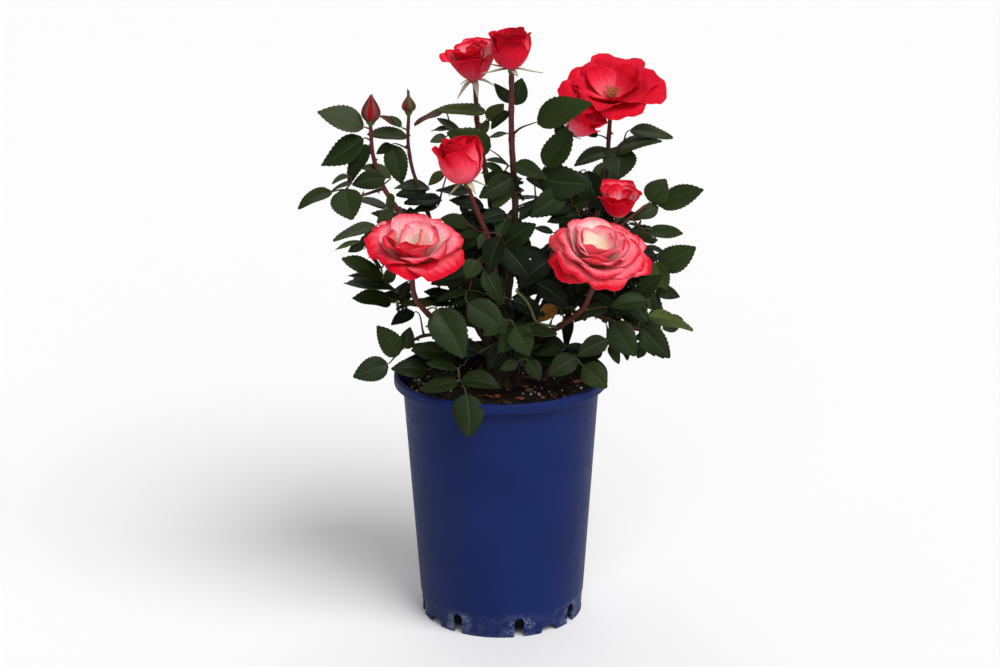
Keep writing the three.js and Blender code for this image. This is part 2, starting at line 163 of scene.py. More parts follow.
def evenly(points, step):
    """The same line with its points about a step apart."""
    gaps = np.linalg.norm(np.diff(points, axis=0), axis=1)
    along = np.concatenate([[0], np.cumsum(gaps)])
    places = np.linspace(0, along[-1], max(3, int(round(along[-1] / step)) + 1))
    return np.column_stack([np.interp(places, along, points[:, axis]) for axis in range(3)])


def bezier(a, b, c, d, step):
    """Points about every step along a cubic Bezier curve."""
    t = np.linspace(0, 1, 14)[:, None]
    return evenly(a * (1 - t) ** 3 + 3 * b * t * (1 - t) ** 2 + 3 * c * t ** 2 * (1 - t) + d * t ** 3, step)


def grid_faces(rows, columns, closed=False):
    """Triangles over a grid of points laid out row by row; closed joins the last column to the first."""
    across = np.arange(columns if closed else columns - 1)
    row, column = np.meshgrid(np.arange(rows - 1), across, indexing="ij")
    a = (row * columns + column).ravel()
    b = (row * columns + (column + 1) % columns).ravel()
    c, d = b + columns, a + columns
    return np.concatenate([np.column_stack([a, b, c]), np.column_stack([a, c, d])])


def sheet_faces(rows, columns):
    """Triangles of a thin closed sheet, one grid of points over another: upper side, lower side and rim."""
    size, last = rows * columns, (rows - 1) * columns
    upper = grid_faces(rows, columns)[:, ::-1]
    border = np.concatenate([np.arange(columns), np.arange(1, rows - 1) * columns + columns - 1,
                             last + np.arange(columns)[::-1], np.arange(rows - 2, 0, -1) * columns])
    after = np.roll(border, -1)
    rim = np.concatenate([np.column_stack([border, after, after + size]),
                          np.column_stack([border, after + size, border + size])])
    return upper, upper[:, ::-1] + size, rim


def capped(rings, start, end):
    """A closed solid through rings of points, with one point to close each end: its points and triangles."""
    rings = np.asarray(rings, float)
    count, sides = rings.shape[:2]
    side, size = np.arange(sides), count * sides
    after = (side + 1) % sides
    faces = [grid_faces(count, sides, closed=True), np.column_stack([np.full(sides, size), after, side]),
             np.column_stack([np.full(sides, size + 1), side + size - sides, after + size - sides])]
    return np.vstack([rings.reshape(-1, 3), start, end]), np.concatenate(faces)


def tube(path, radius, sides):
    """A closed tube along a path, with rounded ends. radius holds one number, one a ring or one a point."""
    tangent, angle = unit(np.gradient(path, axis=0)), turns(sides)[:, None]
    spoke = square_to(np.array([0.31, 0.87, 0.38]), tangent[0])
    radius = np.asarray(radius, float)
    radius = np.broadcast_to(radius if radius.ndim == 2 else radius.reshape(-1, 1), (len(path), sides))
    rings = []
    for middle, forward, out in zip(path, tangent, radius[..., None]):
        spoke = square_to(spoke, forward)
        rings.append(middle + (np.cos(angle) * spoke + np.sin(angle) * np.cross(forward, spoke)) * out)
    return capped(rings, path[0] - tangent[0] * radius[0].mean() * TUBE_END,
                  path[-1] + tangent[-1] * radius[-1].mean() * TUBE_END)


def lathe(profile, segments):
    """A closed solid of revolution from [radius, height] points that start and end on the axis."""
    angle = turns(segments)
    radius, height = np.asarray(profile, float)[1:-1].T[..., None]
    rings = np.stack([radius * np.cos(angle), radius * np.sin(angle), height + 0 * angle], axis=-1)
    return capped(rings, (0, 0, profile[0][1]), (0, 0, profile[-1][1]))


def arc(centre, radius, start, end, steps):
    """Points of an arc in the profile plane, from one angle to another in degrees."""
    angle = np.radians(np.linspace(start, end, steps + 1))
    return [(centre[0] + radius * math.cos(a), centre[1] + radius * math.sin(a)) for a in angle]


def ball():
    """Points and triangles of a unit ball."""
    mesh = bmesh.new()
    bmesh.ops.create_icosphere(mesh, subdivisions=1, radius=1)
    points = np.array([v.co[:] for v in mesh.verts])
    faces = np.array([[v.index for v in f.verts] for f in mesh.faces])
    mesh.free()
    return points, faces


def smoothed(mesh, sharp):
    """Smooth shading, with edges of more than sharp degrees kept."""
    mesh.shade_smooth()
    mesh.set_sharp_from_angle(angle=math.radians(sharp))


class Piece:
    """Closed meshes gathered into one object, with a material slot for each face."""

    def __init__(self, name):
        self.name, self.total, self.parts = name, 0, []

    def add(self, points, faces, slot=0, uv=None, tone=None):
        """uv holds a pair for each corner of each face, and tone a colour for each point."""
        self.parts.append((points, faces + self.total, np.broadcast_to(slot, len(faces)), uv, tone))
        self.total += len(points)

    def make(self, materials, finish, replaces=(), uv_name="OFBake", sharp=55):
        points, faces, slots, uv, tone = (None if part[0] is None else np.concatenate(part)
                                          for part in zip(*self.parts))
        mesh = bpy.data.meshes.new(self.name)
        mesh.from_pydata((points * MM).tolist(), [], faces.tolist())
        mesh.polygons.foreach_set("material_index", slots.astype(np.int32))
        for material in materials:
            mesh.materials.append(material)
        if uv is not None:
            mesh.uv_layers.new(name=uv_name).uv.foreach_set("vector", uv.astype(np.float32).ravel())
        if tone is not None:
            colours = mesh.color_attributes.new(name="tone", type="FLOAT_COLOR", domain="POINT")
            colours.data.foreach_set("color", np.insert(tone, 3, 1, axis=1).astype(np.float32).ravel())
        smoothed(mesh, sharp)
        piece = in_scene(self.name, mesh)
        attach(piece, "root")
        if replaces:
            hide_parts(*replaces)
        return piece


# ---------------------------------------------------------------- materials


class Nodes:
    """A material's nodes, added one at a time from values or from other nodes' sockets."""

    def __init__(self, name):
        self.material = bpy.data.materials.new(name)
        self.material.use_nodes = True
        self.tree = self.material.node_tree
        self.shader = self.tree.nodes["Principled BSDF"]

    def add(self, kind, *inputs, **settings):
        node = self.tree.nodes.new("ShaderNode" + kind)
        for name, value in settings.items():
            setattr(node, name, value)
        for socket, value in zip(node.inputs, inputs):
            self.feed(socket, value)
        return node

    def feed(self, socket, value):
        if isinstance(value, bpy.types.Node):
            value = next(s for s in value.outputs if s.enabled)
        if isinstance(value, bpy.types.NodeSocket):
            self.tree.links.new(value, socket)
        else:
            socket.default_value = (*value, 1) if socket.type == "RGBA" else value

    def maths(self, operation, *inputs):
        return self.add("Math", *inputs, operation=operation)

    def place(self):
        return self.add("TexCoord").outputs["Object"]

    def stretched(self, scale, place=None):
        """The place, with each of its directions scaled."""
        node = self.add("Mapping", place or self.place())
        node.inputs["Scale"].default_value = scale
        return node

    def noise(self, size, detail=3.0, rough=0.5, place=None):
        """Noise with features about size millimetres across, from 0 to 1."""
        node = self.add("TexNoise", place or self.place())
        for name, value in (("Scale", 1 / (size * MM)), ("Detail", detail), ("Roughness", rough)):
            node.inputs[name].default_value = value
        return node

    def attribute(self, name, output="Color"):
        return self.add("Attribute", attribute_name=name).outputs[output]

    def between(self, value, low, high, to_low=0.0, to_high=1.0):
        """value's range from low to high, stretched to another range and held there."""
        return self.add("MapRange", value, low, high, to_low, to_high)

    def mixed(self, share, first, second, blend="MIX"):
        node = self.add("Mix", data_type="RGBA", blend_type=blend)
        for name, value in (("Factor", share), ("A", first), ("B", second)):
            self.feed(next(s for s in node.inputs if s.name == name and s.enabled), value)
        return node

    def set(self, **values):
        """Principled inputs by name, with _ for a space."""
        for name, value in values.items():
            self.feed(self.shader.inputs[name.replace("_", " ")], value)

    def bumped(self, height, depth):
        """The finished material, with a relief whose range stands out by depth millimetres."""
        node = self.add("Bump")
        node.inputs["Distance"].default_value = depth * MM
        self.feed(node.inputs["Height"], height)
        self.set(Normal=node)
        return self.material


def pot_plastic():
    n = Nodes("pot_plastic")
    blue = n.mixed(n.between(n.noise(60, 2), 0.3, 0.7), (0.0042, 0.0125, 0.076), (0.0062, 0.0160, 0.090))
    grains = n.between(n.noise(1.3, 4, 0.7), 0.47, 0.66)
    clouds = n.between(n.noise(7, 3), 0.35, 0.65)
    frost = n.maths("MULTIPLY", n.maths("MULTIPLY", n.attribute("scuff", "Fac"), grains), clouds)
    n.set(Base_Color=n.mixed(frost, blue, (0.34, 0.38, 0.47)), Specular_IOR_Level=0.09,
          Roughness=n.between(n.noise(9, 3), 0.3, 0.7, 0.42, 0.54))
    return n.bumped(n.noise(1.6, 2), 0.05)


def mix_skin(name, first, second, roughness, specular):
    """Matt, crumbly potting mix of two mottled colours."""
    n = Nodes(name)
    n.set(Base_Color=n.mixed(n.between(n.noise(3.0, 4, 0.6), 0.35, 0.65), first, second), Roughness=roughness,
          Specular_IOR_Level=specular)
    return n.bumped(n.noise(1.5, 4, 0.6), 0.8)


def bark():
    """Cracked grey-brown bark on the graft union."""
    n = Nodes("graft_bark")
    cracks = n.noise(3.2, 5, 0.65, n.stretched((1, 1, 0.35)))
    n.set(Base_Color=n.mixed(n.between(cracks, 0.36, 0.62), (0.016, 0.010, 0.007), (0.072, 0.048, 0.031)),
          Roughness=0.85, Specular_IOR_Level=0.1)
    return n.bumped(cracks, 1.2)


def cane_skin():
    """The canes' own colours, streaked along the grain."""
    n = Nodes("cane_skin")
    streak = n.between(n.noise(1.4, 3, 0.6, n.stretched((1, 1, 0.18))), 0.35, 0.65, 0.72, 1.2)
    n.set(Base_Color=n.mixed(1.0, n.attribute("tone"), streak, "MULTIPLY"), Roughness=0.48,
          Specular_IOR_Level=0.16)
    return n.bumped(n.noise(0.9, 3), 0.12)


def petal_skin():
    """The petals' own colours, with fine veins from base to lip."""
    n = Nodes("petal_skin")
    veins = n.noise(4.5, 3, 0.6, n.stretched((0.9, 0.12, 1), n.add("UVMap", uv_map="OFBake")))
    shade = n.between(veins, 0.3, 0.7, 0.86, 1.1)
    n.set(Base_Color=n.mixed(1.0, n.attribute("tone"), shade, "MULTIPLY"), Roughness=0.6,
          Specular_IOR_Level=0.04, Subsurface_Weight=0.3, Subsurface_Scale=0.004)
    return n.bumped(n.noise(1.5, 3), 0.10)


def leaf_skin(name, colour, roughness, specular):
    """A leaf blade of one colour; its side veins are a bump that follows the blade."""
    n = Nodes(name)
    blade = n.add("SeparateXYZ", n.add("UVMap", uv_map="blade"))
    out = n.maths("ABSOLUTE", n.maths("SUBTRACT", blade.outputs["Y"], 0.5))
    slanted = n.maths("SUBTRACT", blade.outputs["X"], n.maths("MULTIPLY", out, 0.62))
    wave = n.maths("SINE", n.maths("MULTIPLY", slanted, 2 * math.pi * 7))
    quilt = n.maths("POWER", n.maths("ABSOLUTE", wave), 0.45)
    height = n.maths("ADD", n.maths("MULTIPLY", quilt, 0.75), n.maths("MULTIPLY", n.noise(1.1, 3), 0.5))
    n.set(Base_Color=colour, Specular_IOR_Level=specular,
          Roughness=n.between(n.noise(6, 2), 0.35, 0.65, roughness - 0.05, roughness + 0.07))
    return n.bumped(height, 0.15)


# Small parts that are coloured part by part: colour, roughness and, for some, the size and depth of the bumps
PLAIN_SKINS = {
    "crumb_dark": ((0.016, 0.011, 0.008), 0.9), "crumb_brown": ((0.070, 0.038, 0.022), 0.85),
    "perlite": ((0.46, 0.44, 0.38), 0.8, 0.6, 0.2),
    "chip_orange": ((0.30, 0.105, 0.045), 0.75, 2.0, 0.4), "chip_straw": ((0.22, 0.15, 0.06), 0.75, 2.0, 0.4),
    "prickle_brown": ((0.10, 0.055, 0.03), 0.5), "prickle_red": ((0.10, 0.016, 0.016), 0.45),
    "stalk_green": ((0.050, 0.052, 0.022), 0.5), "stalk_red": ((0.075, 0.022, 0.018), 0.48),
    "shoot_green": ((0.070, 0.095, 0.030), 0.42), "leaf_rib": ((0.023, 0.036, 0.0115), 0.45),
    "hip_green": ((0.075, 0.105, 0.028), 0.42),
    "sepal_outside": ((0.090, 0.110, 0.050), 0.5), "sepal_inside": ((0.46, 0.45, 0.32), 0.6),
    "sepal_bud_green": ((0.055, 0.066, 0.022), 0.45), "sepal_bud_red": ((0.13, 0.032, 0.024), 0.45),
    "filament": ((0.50, 0.27, 0.09), 0.5), "anther": ((0.32, 0.14, 0.03), 0.6),
}


def plain_skin(name, colour, roughness, size=1.2, depth=0.1):
    n = Nodes(name)
    n.set(Base_Color=colour, Roughness=roughness, Specular_IOR_Level=0.15)
    return n.bumped(n.noise(size, 3), depth)


def plain_skins(*names):
    return [plain_skin(name, *PLAIN_SKINS[name]) for name in names]


# ---------------------------------------------------------------- the pot

POT = {"height": 237.5, "rim": 100.0, "neck": 91.9, "foot": 76.7, "wall": 1.6, "lip_drop": 9.6, "floor": 2.2,
       "pad": 62.0, "gutter_rise": 6.8, "gutter_width": 10.6, "segments": 160, "sharp": 42}
FOOT_STEP = {"top": 21.0, "run": 2.5, "depth": 0.7}  # the wall draws in a little just above the foot
SLOTS = {"count": 8, "width": 9.6, "height": 19.0, "start": -78.0}
NOTCHES = {"count": 4, "width": 18.0, "top": 13.0, "height": 6.5, "start": 35.0}
SCUFF = {"reach": 13.0, "height": 26.0}


def wall_radius(z):
    return POT["foot"] + (POT["neck"] - POT["foot"]) * z / (POT["height"] - POT["lip_drop"])


def pot_profile():
    """The pot's section, from the axis under the floor, up the outside and down the inside."""
    height, rim, foot, pad, rise = (POT[name] for name in ("height", "rim", "foot", "pad", "gutter_rise"))
    neck_z, lip_round, inner_lip = height - POT["lip_drop"], 2.2, rim - 3.6
    gutter_outer, floor_top = pad + 2 + POT["gutter_width"], rise + POT["floor"]
    under = [(0, 0), (20, 0), (40, 0), (pad - 0.8, 0), (pad, 0.6), (pad + 2, rise),
             (gutter_outer - 0.8, rise), (gutter_outer, 0.5), (gutter_outer + 0.5, 0), (foot - 0.8, 0),
             (foot - 0.1, 0.8)]
    outside = []
    for z in [*np.arange(3.0, 33.0, 1.5), *np.linspace(36, neck_z - 1.6, 36)]:
        drawn_in = 1 - smooth_step(FOOT_STEP["top"] - FOOT_STEP["run"], FOOT_STEP["top"], z)
        outside.append((wall_radius(z) - FOOT_STEP["depth"] * drawn_in, z))
    ledge = arc((POT["neck"] + 1.4, neck_z - 1.4), 1.4, 180, 90, 3)
    lip = [(rim - 1.0, neck_z + 0.1), *arc((rim - 0.9, neck_z + 1.1), 0.9, -90, 0, 3),
           *arc((rim - lip_round, height - lip_round), lip_round, 0, 90, 6), (inner_lip + 1.2, height),
           *arc((inner_lip + 1.0, height - 1.2), 1.2, 100, 180, 4)]
    inside = [(wall_radius(z) - POT["wall"], z) for z in np.linspace(neck_z - 1.5, floor_top, 20)]
    floor = [(pad + 0.4, floor_top), (pad - 1.6, POT["floor"]), (30, POT["floor"]), (0, POT["floor"])]
    return under + outside + ledge + lip + inside + floor


def slot_outline():
    half, straight = SLOTS["width"] / 2, SLOTS["height"] - SLOTS["width"] / 2
    return [(-half, -1), (half, -1)] + arc((0, straight), half, 0, 180, 8)


def notch_outline():
    bottom, top, high = NOTCHES["width"] / 2, NOTCHES["top"] / 2, NOTCHES["height"]
    right = [(bottom, -1), (top, high - 0.8), (top - 0.8, high)]
    return [(-bottom, -1), *right, *[(-x, z) for x, z in right[:0:-1]]]


def foot_cutters():
    """One mesh of prisms that pass through the wall of the foot."""
    cutter = bmesh.new()
    for facts, outline in ((SLOTS, slot_outline()), (NOTCHES, notch_outline())):
        for i in range(facts["count"]):
            turn = Matrix.Rotation(math.radians(facts["start"] + i * 360 / facts["count"]), 3, "Z")
            inner, outer = ([cutter.verts.new(turn @ Vector((x, -reach, z)) * MM) for x, z in outline]
                            for reach in (POT["foot"] - 8, POT["foot"] + 10))
            cutter.faces.new(inner[::-1])
            cutter.faces.new(outer)
            for a in range(len(outline)):
                b = (a + 1) % len(outline)
                cutter.faces.new((inner[a], inner[b], outer[b], outer[a]))
    bmesh.ops.recalc_face_normals(cutter, faces=cutter.faces)
    mesh = bpy.data.meshes.new("foot_cutters")
    cutter.to_mesh(mesh)
    cutter.free()
    return mesh


def scuffs(mesh):
    """How scuffed each point of the pot is: most round the drainage slots."""
    place = np.array([v.co for v in mesh.vertices]) / MM
    turn = np.degrees(np.arctan2(place[:, 0], -place[:, 1]))
    pitch = 360 / SLOTS["count"]
    off_centre = np.abs((turn - SLOTS["start"] + pitch / 2) % pitch - pitch / 2)
    across = np.radians(off_centre) * POT["foot"] - SLOTS["width"] / 2
    near = 1 - smooth_step(0, SCUFF["reach"], np.abs(across))
    low = 1 - smooth_step(SCUFF["height"] * 0.6, SCUFF["height"], place[:, 2])
    return np.clip(near * 1.1 + 0.16, 0, 1) * low


def make_pot():
    pot = Piece("pot_shell")
    pot.add(*lathe(pot_profile(), POT["segments"]))
    shell = pot.make([pot_plastic()], "pot_plastic", ["pot"], sharp=POT["sharp"])
    cutter = in_scene("foot_cutters", foot_cutters())
    cut = shell.modifiers.new("slots", "BOOLEAN")
    cut.object, cut.operation, cut.solver = cutter, "DIFFERENCE", "EXACT"
    bpy.context.view_layer.update()
    whole = bpy.data.meshes.new_from_object(shell.evaluated_get(bpy.context.evaluated_depsgraph_get()))
    shell.modifiers.clear()
    shell.data = whole
    bpy.data.objects.remove(cutter)
    scuff = whole.attributes.new("scuff", "FLOAT", "POINT")
    scuff.data.foreach_set("value", scuffs(whole).astype(np.float32))
    smoothed(whole, POT["sharp"])


# ---------------------------------------------------------------- the potting mix

MIX = {"top": 224.6, "edge_drop": 3.4, "rings": 46, "segments": 130, "relief": 2.6, "grain": 9.0}


def mix_height(x, y):
    """Height of the mix's surface at a place."""
    out = math.hypot(x, y) / (wall_radius(MIX["top"]) - POT["wall"])
    lumps = noise.fractal(Vector((x, y, 3)) / MIX["grain"], 0.9, 2.1, 4)
    heap = 1.2 * noise.noise(Vector((x, y, 0)) / 34)
    return MIX["top"] - MIX["edge_drop"] * out ** 3 + heap + MIX["relief"] * 0.5 * lumps


def make_mix():
    """One closed heap, from the pot's floor up, with an uneven top; its lower half is painted near-black as
    shade.
    """
    def ring(radius, height=None):
        places = [(radius * math.cos(a), radius * math.sin(a)) for a in turns(MIX["segments"])]
        return [(x, y, mix_height(x, y) if height is None else height) for x, y in places]

    edge = wall_radius(MIX["top"] - MIX["edge_drop"]) - POT["wall"] - 0.4
    bottom, floor_top, skin = POT["floor"] + 0.3, POT["gutter_rise"] + POT["floor"] + 0.3, POT["wall"] + 0.5
    below = [(POT["pad"] - 2.4, bottom), (POT["pad"] - 0.4, floor_top),
             (wall_radius(floor_top) - skin, floor_top), (wall_radius(120) - skin, 120)]
    top = [ring(radius) for radius in np.linspace(1.5, edge, MIX["rings"])[::-1]]
    points, faces = capped([ring(*place) for place in below] + top, (0, 0, bottom), (0, 0, mix_height(0, 0)))
    # Painted shade: faces below the middle of the pot, seen only through the drainage slots, get a near-black
    # skin for the shade inside the pot
    deep = points[faces][:, :, 2].max(axis=1) < MIX["top"] / 2 + 10
    mix = Piece("potting_mix_heap")
    mix.add(points, faces, np.where(deep, 1, 0))
    # The second skin is the near-black painted shade of the heap's lower half
    mix.make([mix_skin("potting_mix", (0.009, 0.0065, 0.005), (0.036, 0.023, 0.016), 0.92, 0.1),
              mix_skin("potting_mix_painted_shade", (0.0012, 0.0010, 0.0010), (0.004, 0.003, 0.0025), 0.95, 0.05)],
             "potting_mix", ["potting_mix"], sharp=80)


def scattered(piece, random, count, sizes, flatness, rough, slot=0, spots=None, sink=0.25):
    """Small uneven grains lying on the mix; each is a ball pulled out of shape."""
    points, faces = ball()
    limit = wall_radius(MIX["top"]) - POT["wall"] - 3
    for i in range(count):
        if spots:
            x, y = spots[i]
        else:
            out, turn = limit * math.sqrt(random.uniform(0.02, 1)), random.uniform(0, 2 * math.pi)
            x, y = out * math.cos(turn), out * math.sin(turn)
        size = random.uniform(*sizes)
        shape = points * (1 + rough * random.uniform(-1, 1, (len(points), 1)))
        shape = shape * (size, size * random.uniform(0.55, 1), size * random.uniform(*flatness))
        spin = Matrix.Rotation(random.uniform(0, 6.28), 3, "Z")
        tilt = Matrix.Rotation(random.uniform(-0.6, 0.6), 3, "X")
        shape = shape @ np.array((spin @ tilt).transposed())
        rest = mix_height(x, y) - shape[:, 2].min() * (1 - sink) * 0.9
        piece.add(shape + (x, y, rest), faces, slot)


def on_mix(u, v):
    """The place on the potting mix that shows at a pixel."""
    ray = at_pixel(u, v, 0) - EYE
    spot = EYE + ray * (MIX["top"] - EYE[2]) / ray[2]
    return spot[0], spot[1]


# Bark chips and pale grains that show at the front of the pot, by pixel of the photograph
CHIP_SPOTS = [on_mix(u, v)
              for u, v in ((508, 391), (545, 380), (497, 397), (490, 399), (577, 381), (520, 399))]
GRAIN_SPOTS = [on_mix(u, v) for u, v in ((506, 381), (510, 383), (504, 377), (542, 389), (539, 394),
               (418, 383), (421, 386), (415, 380), (523, 394), (500, 373), (581, 388), (430, 376),
               (412, 386), (417, 389), (424, 383), (419, 380), (501, 378), (506, 376), (511, 379),
               (508, 385), (535, 392), (531, 395))]


def make_grains():
    random = random_for("potting mix")
    crumbs, perlite, chips = Piece("mix_crumbs"), Piece("perlite_grains"), Piece("bark_chips")
    scattered(crumbs, random, 620, (0.9, 2.6), (0.5, 0.9), 0.22)
    scattered(crumbs, random, 150, (1.2, 3.4), (0.3, 0.6), 0.25, 1)
    scattered(perlite, random, len(GRAIN_SPOTS), (1.2, 2.1), (0.7, 1.0), 0.16, spots=GRAIN_SPOTS, sink=0.1)
    scattered(perlite, random, 70, (0.5, 1.4), (0.6, 1.0), 0.16)
    scattered(chips, random, len(CHIP_SPOTS), (3.4, 5.6), (0.2, 0.34), 0.14, spots=CHIP_SPOTS, sink=0.05)
    scattered(chips, random, 12, (2.2, 4.6), (0.16, 0.36), 0.16)
    scattered(chips, random, 16, (2.0, 4.4), (0.16, 0.36), 0.16, 1)
    crumbs.make(plain_skins("crumb_dark", "crumb_brown"), "potting_mix", sharp=30)
    perlite.make(plain_skins("perlite"), "potting_mix", sharp=40)
    chips.make(plain_skins("chip_orange", "chip_straw"), "potting_mix", sharp=25)


# ---------------------------------------------------------------- stem and canes

STEM = {"centre": (2.0, 0.0), "foot": 224.95, "levels": 34, "sides": 40,
        "rings": [(0, 17.5), (5, 15.2), (16, 13.2), (27, 14.6), (34, 12.6), (39, 8.4)]}
# Sawn-off stubs of old canes on the graft union: where each starts and ends
STUBS = [((-12, -6, 236), (-19, -10, 243)), ((14, 5, 240), (20, 9, 250)), ((4, -12, 246), (5, -19, 256))]

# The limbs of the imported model: radius at each end and the points that the limb's middle runs through
LIMBS = {
    "cane_centre": ((4.8, 2.4), [(2, 3, 254), (6, 6, 300), (11, 2, 350), (14, 1, 397), (11, 5, 456),
        (11, 5, 516)]),
    "cane_left": ((4.4, 1.7), [(-4, -1, 252), (-26, -6, 290), (-58, -14, 345), (-90, -15, 393),
        (-105, -12, 416), (-114, -10, 444), (-116, -10, 473)]),
    "cane_right": ((4.6, 1.9), [(6, 2, 254), (34, 6, 290), (62, 9, 330), (84, 15, 370), (99, 25, 417),
        (100, 28, 445), (102, 30, 482)]),
    "cane_front_centre": ((3.8, 2.0), [(1, -5, 254), (0, -24, 300), (-4, -34, 339), (-11, -42, 377),
        (-20, -50, 402), (-28, -57, 426)]),
    "cane_front_left": ((3.8, 2.2), [(-3, -5, 250), (-30, -30, 276), (-58, -56, 303), (-76, -73, 330),
        (-78, -80, 352)]),
    "cane_front_right": ((3.8, 2.3), [(6, -5, 250), (30, -30, 276), (58, -54, 300), (74, -68, 318),
        (82, -78, 340)]),
    "cane_rear_left": ((4.2, 1.6), [(-3, 5, 252), (-26, 36, 284), (-50, 58, 318), (-68, 64, 352)]),
    "cane_rear_centre": ((4.0, 1.6), [(2, 6, 253), (4, 42, 290), (5, 68, 330), (3, 80, 366)]),
    "cane_rear_right": ((4.2, 1.6), [(6, 5, 252), (30, 36, 286), (54, 58, 330), (72, 64, 376)]),
    "cane_top_left": ((3.2, 2.2), [(6, 6, 300), (0, 20, 345), (-7, 25, 382), (-13, 32, 421), (-20, 40, 458),
        (-22, 45, 499)]),
    "cane_left_centre": ((2.6, 1.5), [(-44, -10, 321), (-58, 8, 362), (-71, 20, 398), (-81, 24, 428),
        (-84, 25, 452), (-83, 25, 475)]),
    "cane_right_middle": ((2.8, 1.8), [(62, 9, 330), (84, -10, 352), (98, -22, 370), (106, -28, 391)]),
    "shoot_left": ((1.8, 1.1), [(-105, -12, 416), (-120, -22, 413), (-136, -30, 410)]),
    "shoot_right": ((1.8, 1.2), [(98, -22, 370), (114, -20, 386), (132, -12, 398)]),
    "shoot_low_left": ((2.3, 1.3), [(-30, -30, 276), (-52, -42, 285), (-72, -47, 286), (-96, -54, 272)]),
    "shoot_low_right": ((2.4, 1.3), [(34, 6, 290), (70, -8, 297), (104, -22, 292), (132, -28, 284)]),
}
CANE = {"sides": 12, "ring_every": 3.5, "taper": 0.55, "joint_every": 27.0, "joint_swell": 0.16,
        "relief": 0.05}
CANE_TONES = {"green": (0.036, 0.036, 0.014), "brown": (0.050, 0.028, 0.014), "red": (0.088, 0.020, 0.017)}
RED_FROM = 345.0  # the height above which prickles and stalks are dark red
RED_SHARE = (0.42, 0.78)  # the stretch of a cane's length over which its skin turns from brown-green to red
THORN = {"height": 3.6, "length": 4.2, "width": 1.1, "every": 15.0, "sides": 8, "sunk": 0.8}
# Sections of a prickle: share of its height, share of its size at the foot, how far it hooks down
THORN_LEVELS = ((0.0, 1.0, 0.0), (0.25, 0.62, 0.06), (0.55, 0.32, 0.2), (0.82, 0.13, 0.45), (1.0, 0.03, 0.72))


def cane_tone(along, random):
    """Skin colour up a cane: green-brown below, dark red near the flower."""
    green, brown, red = (np.array(CANE_TONES[name]) for name in ("green", "brown", "red"))
    low = brown + (green - brown) * random.uniform(0.2, 0.8)
    return low + (red - low) * smooth_step(*RED_SHARE, along)[:, None]


def strip_uv(faces, sides, rings, strip, strips):
    """A tube's faces laid out in an upright strip of the map; the end fans take a point of it."""
    side, ring = faces % sides, np.minimum(faces // sides, rings - 1)
    wraps = (side.max(axis=1) - side.min(axis=1)) > sides / 2
    side = np.where(wraps[:, None] & (side == 0), sides, side)
    u = (strip + 0.06 + 0.88 * side / sides) / strips
    return np.stack([u, 0.01 + 0.98 * ring / max(rings - 1, 1)], axis=-1)


def thorn(point, out, down):
    """A flattened, hooked prickle that stands on the skin at a point."""
    angle = turns(THORN["sides"])[:, None]
    section = (np.cos(angle) * down * THORN["length"] / 2
               + np.sin(angle) * np.cross(out, down) * THORN["width"] / 2)
    rings = [point + out * (THORN["height"] * rise - THORN["sunk"]) + down * THORN["length"] * 0.5 * drop
             + spread * section for rise, spread, drop in THORN_LEVELS]
    return capped(rings, rings[0].mean(axis=0), rings[-1].mean(axis=0))


def make_canes():
    """The canes with their joints and prickles. Returns each cane's middle line."""
    canes, thorns, lines, sides = Piece("canes"), Piece("prickles"), {}, CANE["sides"]
    for strip, (name, ((low, high), path)) in enumerate(LIMBS.items()):
        random = random_for(name)
        line = lines[name] = curve_through(path, CANE["ring_every"])
        count, length = len(line), CANE["ring_every"] * (len(line) - 1)
        along = np.linspace(0, 1, count)
        from_joint = (along * length + random.uniform(0, 20)) % CANE["joint_every"]
        swell = 1 + CANE["joint_swell"] * np.exp(-((from_joint - 4) / 3.0) ** 2)
        radius = (low + (high - low) * along ** CANE["taper"]) * swell
        relief = 1 + CANE["relief"] * random.uniform(-1, 1, (count, sides))
        points, faces = tube(line, radius[:, None] * relief, sides)
        canes.add(points, faces, 0, strip_uv(faces, sides, count, strip, len(LIMBS)),
                  cane_tone(np.append(np.repeat(along, sides), (0, 1)), random))
        tangent = unit(np.gradient(line, axis=0))
        for place in np.arange(random.uniform(4, 14), length - 8, THORN["every"]):
            i = min(int((place + random.uniform(-4, 4)) / CANE["ring_every"]), count - 2)
            out = square_to(random.normal(size=3), tangent[i])
            thorns.add(*thorn(line[i] + out * radius[i], out, -tangent[i]), int(line[i][2] > RED_FROM))
    canes.make([cane_skin()], "cane", list(LIMBS), sharp=70)
    thorns.make(plain_skins("prickle_brown", "prickle_red"), "cane")
    return lines


def make_stem():
    """The graft union, with bark in real relief."""
    random, angle, sides = random_for("main stem"), turns(STEM["sides"]), STEM["sides"]
    heights, radii = zip(*STEM["rings"])
    z = np.linspace(0, heights[-1], STEM["levels"])
    ridges = np.array([[noise.fractal(Vector((math.cos(a) * 3, math.sin(a) * 3, h / 14)), 0.8, 2.2, 4)
                        for a in angle] for h in z])
    radius = np.interp(z, heights, radii)[:, None] * (1 + 0.07 * np.sin(3 * angle + z[:, None] * 0.2))
    line = np.array([*STEM["centre"], STEM["foot"]]) + z[:, None] * UP
    points, faces = tube(line, radius * (1 + 0.09 * ridges) - 0.2, sides)
    points[:, 2] = np.clip(points[:, 2], STEM["foot"] - 1.5, STEM["foot"] + heights[-1] + 2)
    stem = Piece("graft_union")
    stem.add(points, faces, 0, strip_uv(faces, sides, STEM["levels"], 0, 1))
    for ends in STUBS:
        path = evenly(np.array(ends, float), 2.0)
        rough = 1 + 0.06 * random.uniform(-1, 1, (len(path), CANE["sides"]))
        stub, stub_faces = tube(path, np.linspace(4.4, 3.4, len(path))[:, None] * rough, CANE["sides"])
        stem.add(stub, stub_faces, 0, np.full((len(stub_faces), 3, 2), 0.5))
    stem.make([bark()], "bark", ["main_stem"], sharp=75)


# ---------------------------------------------------------------- leaflets

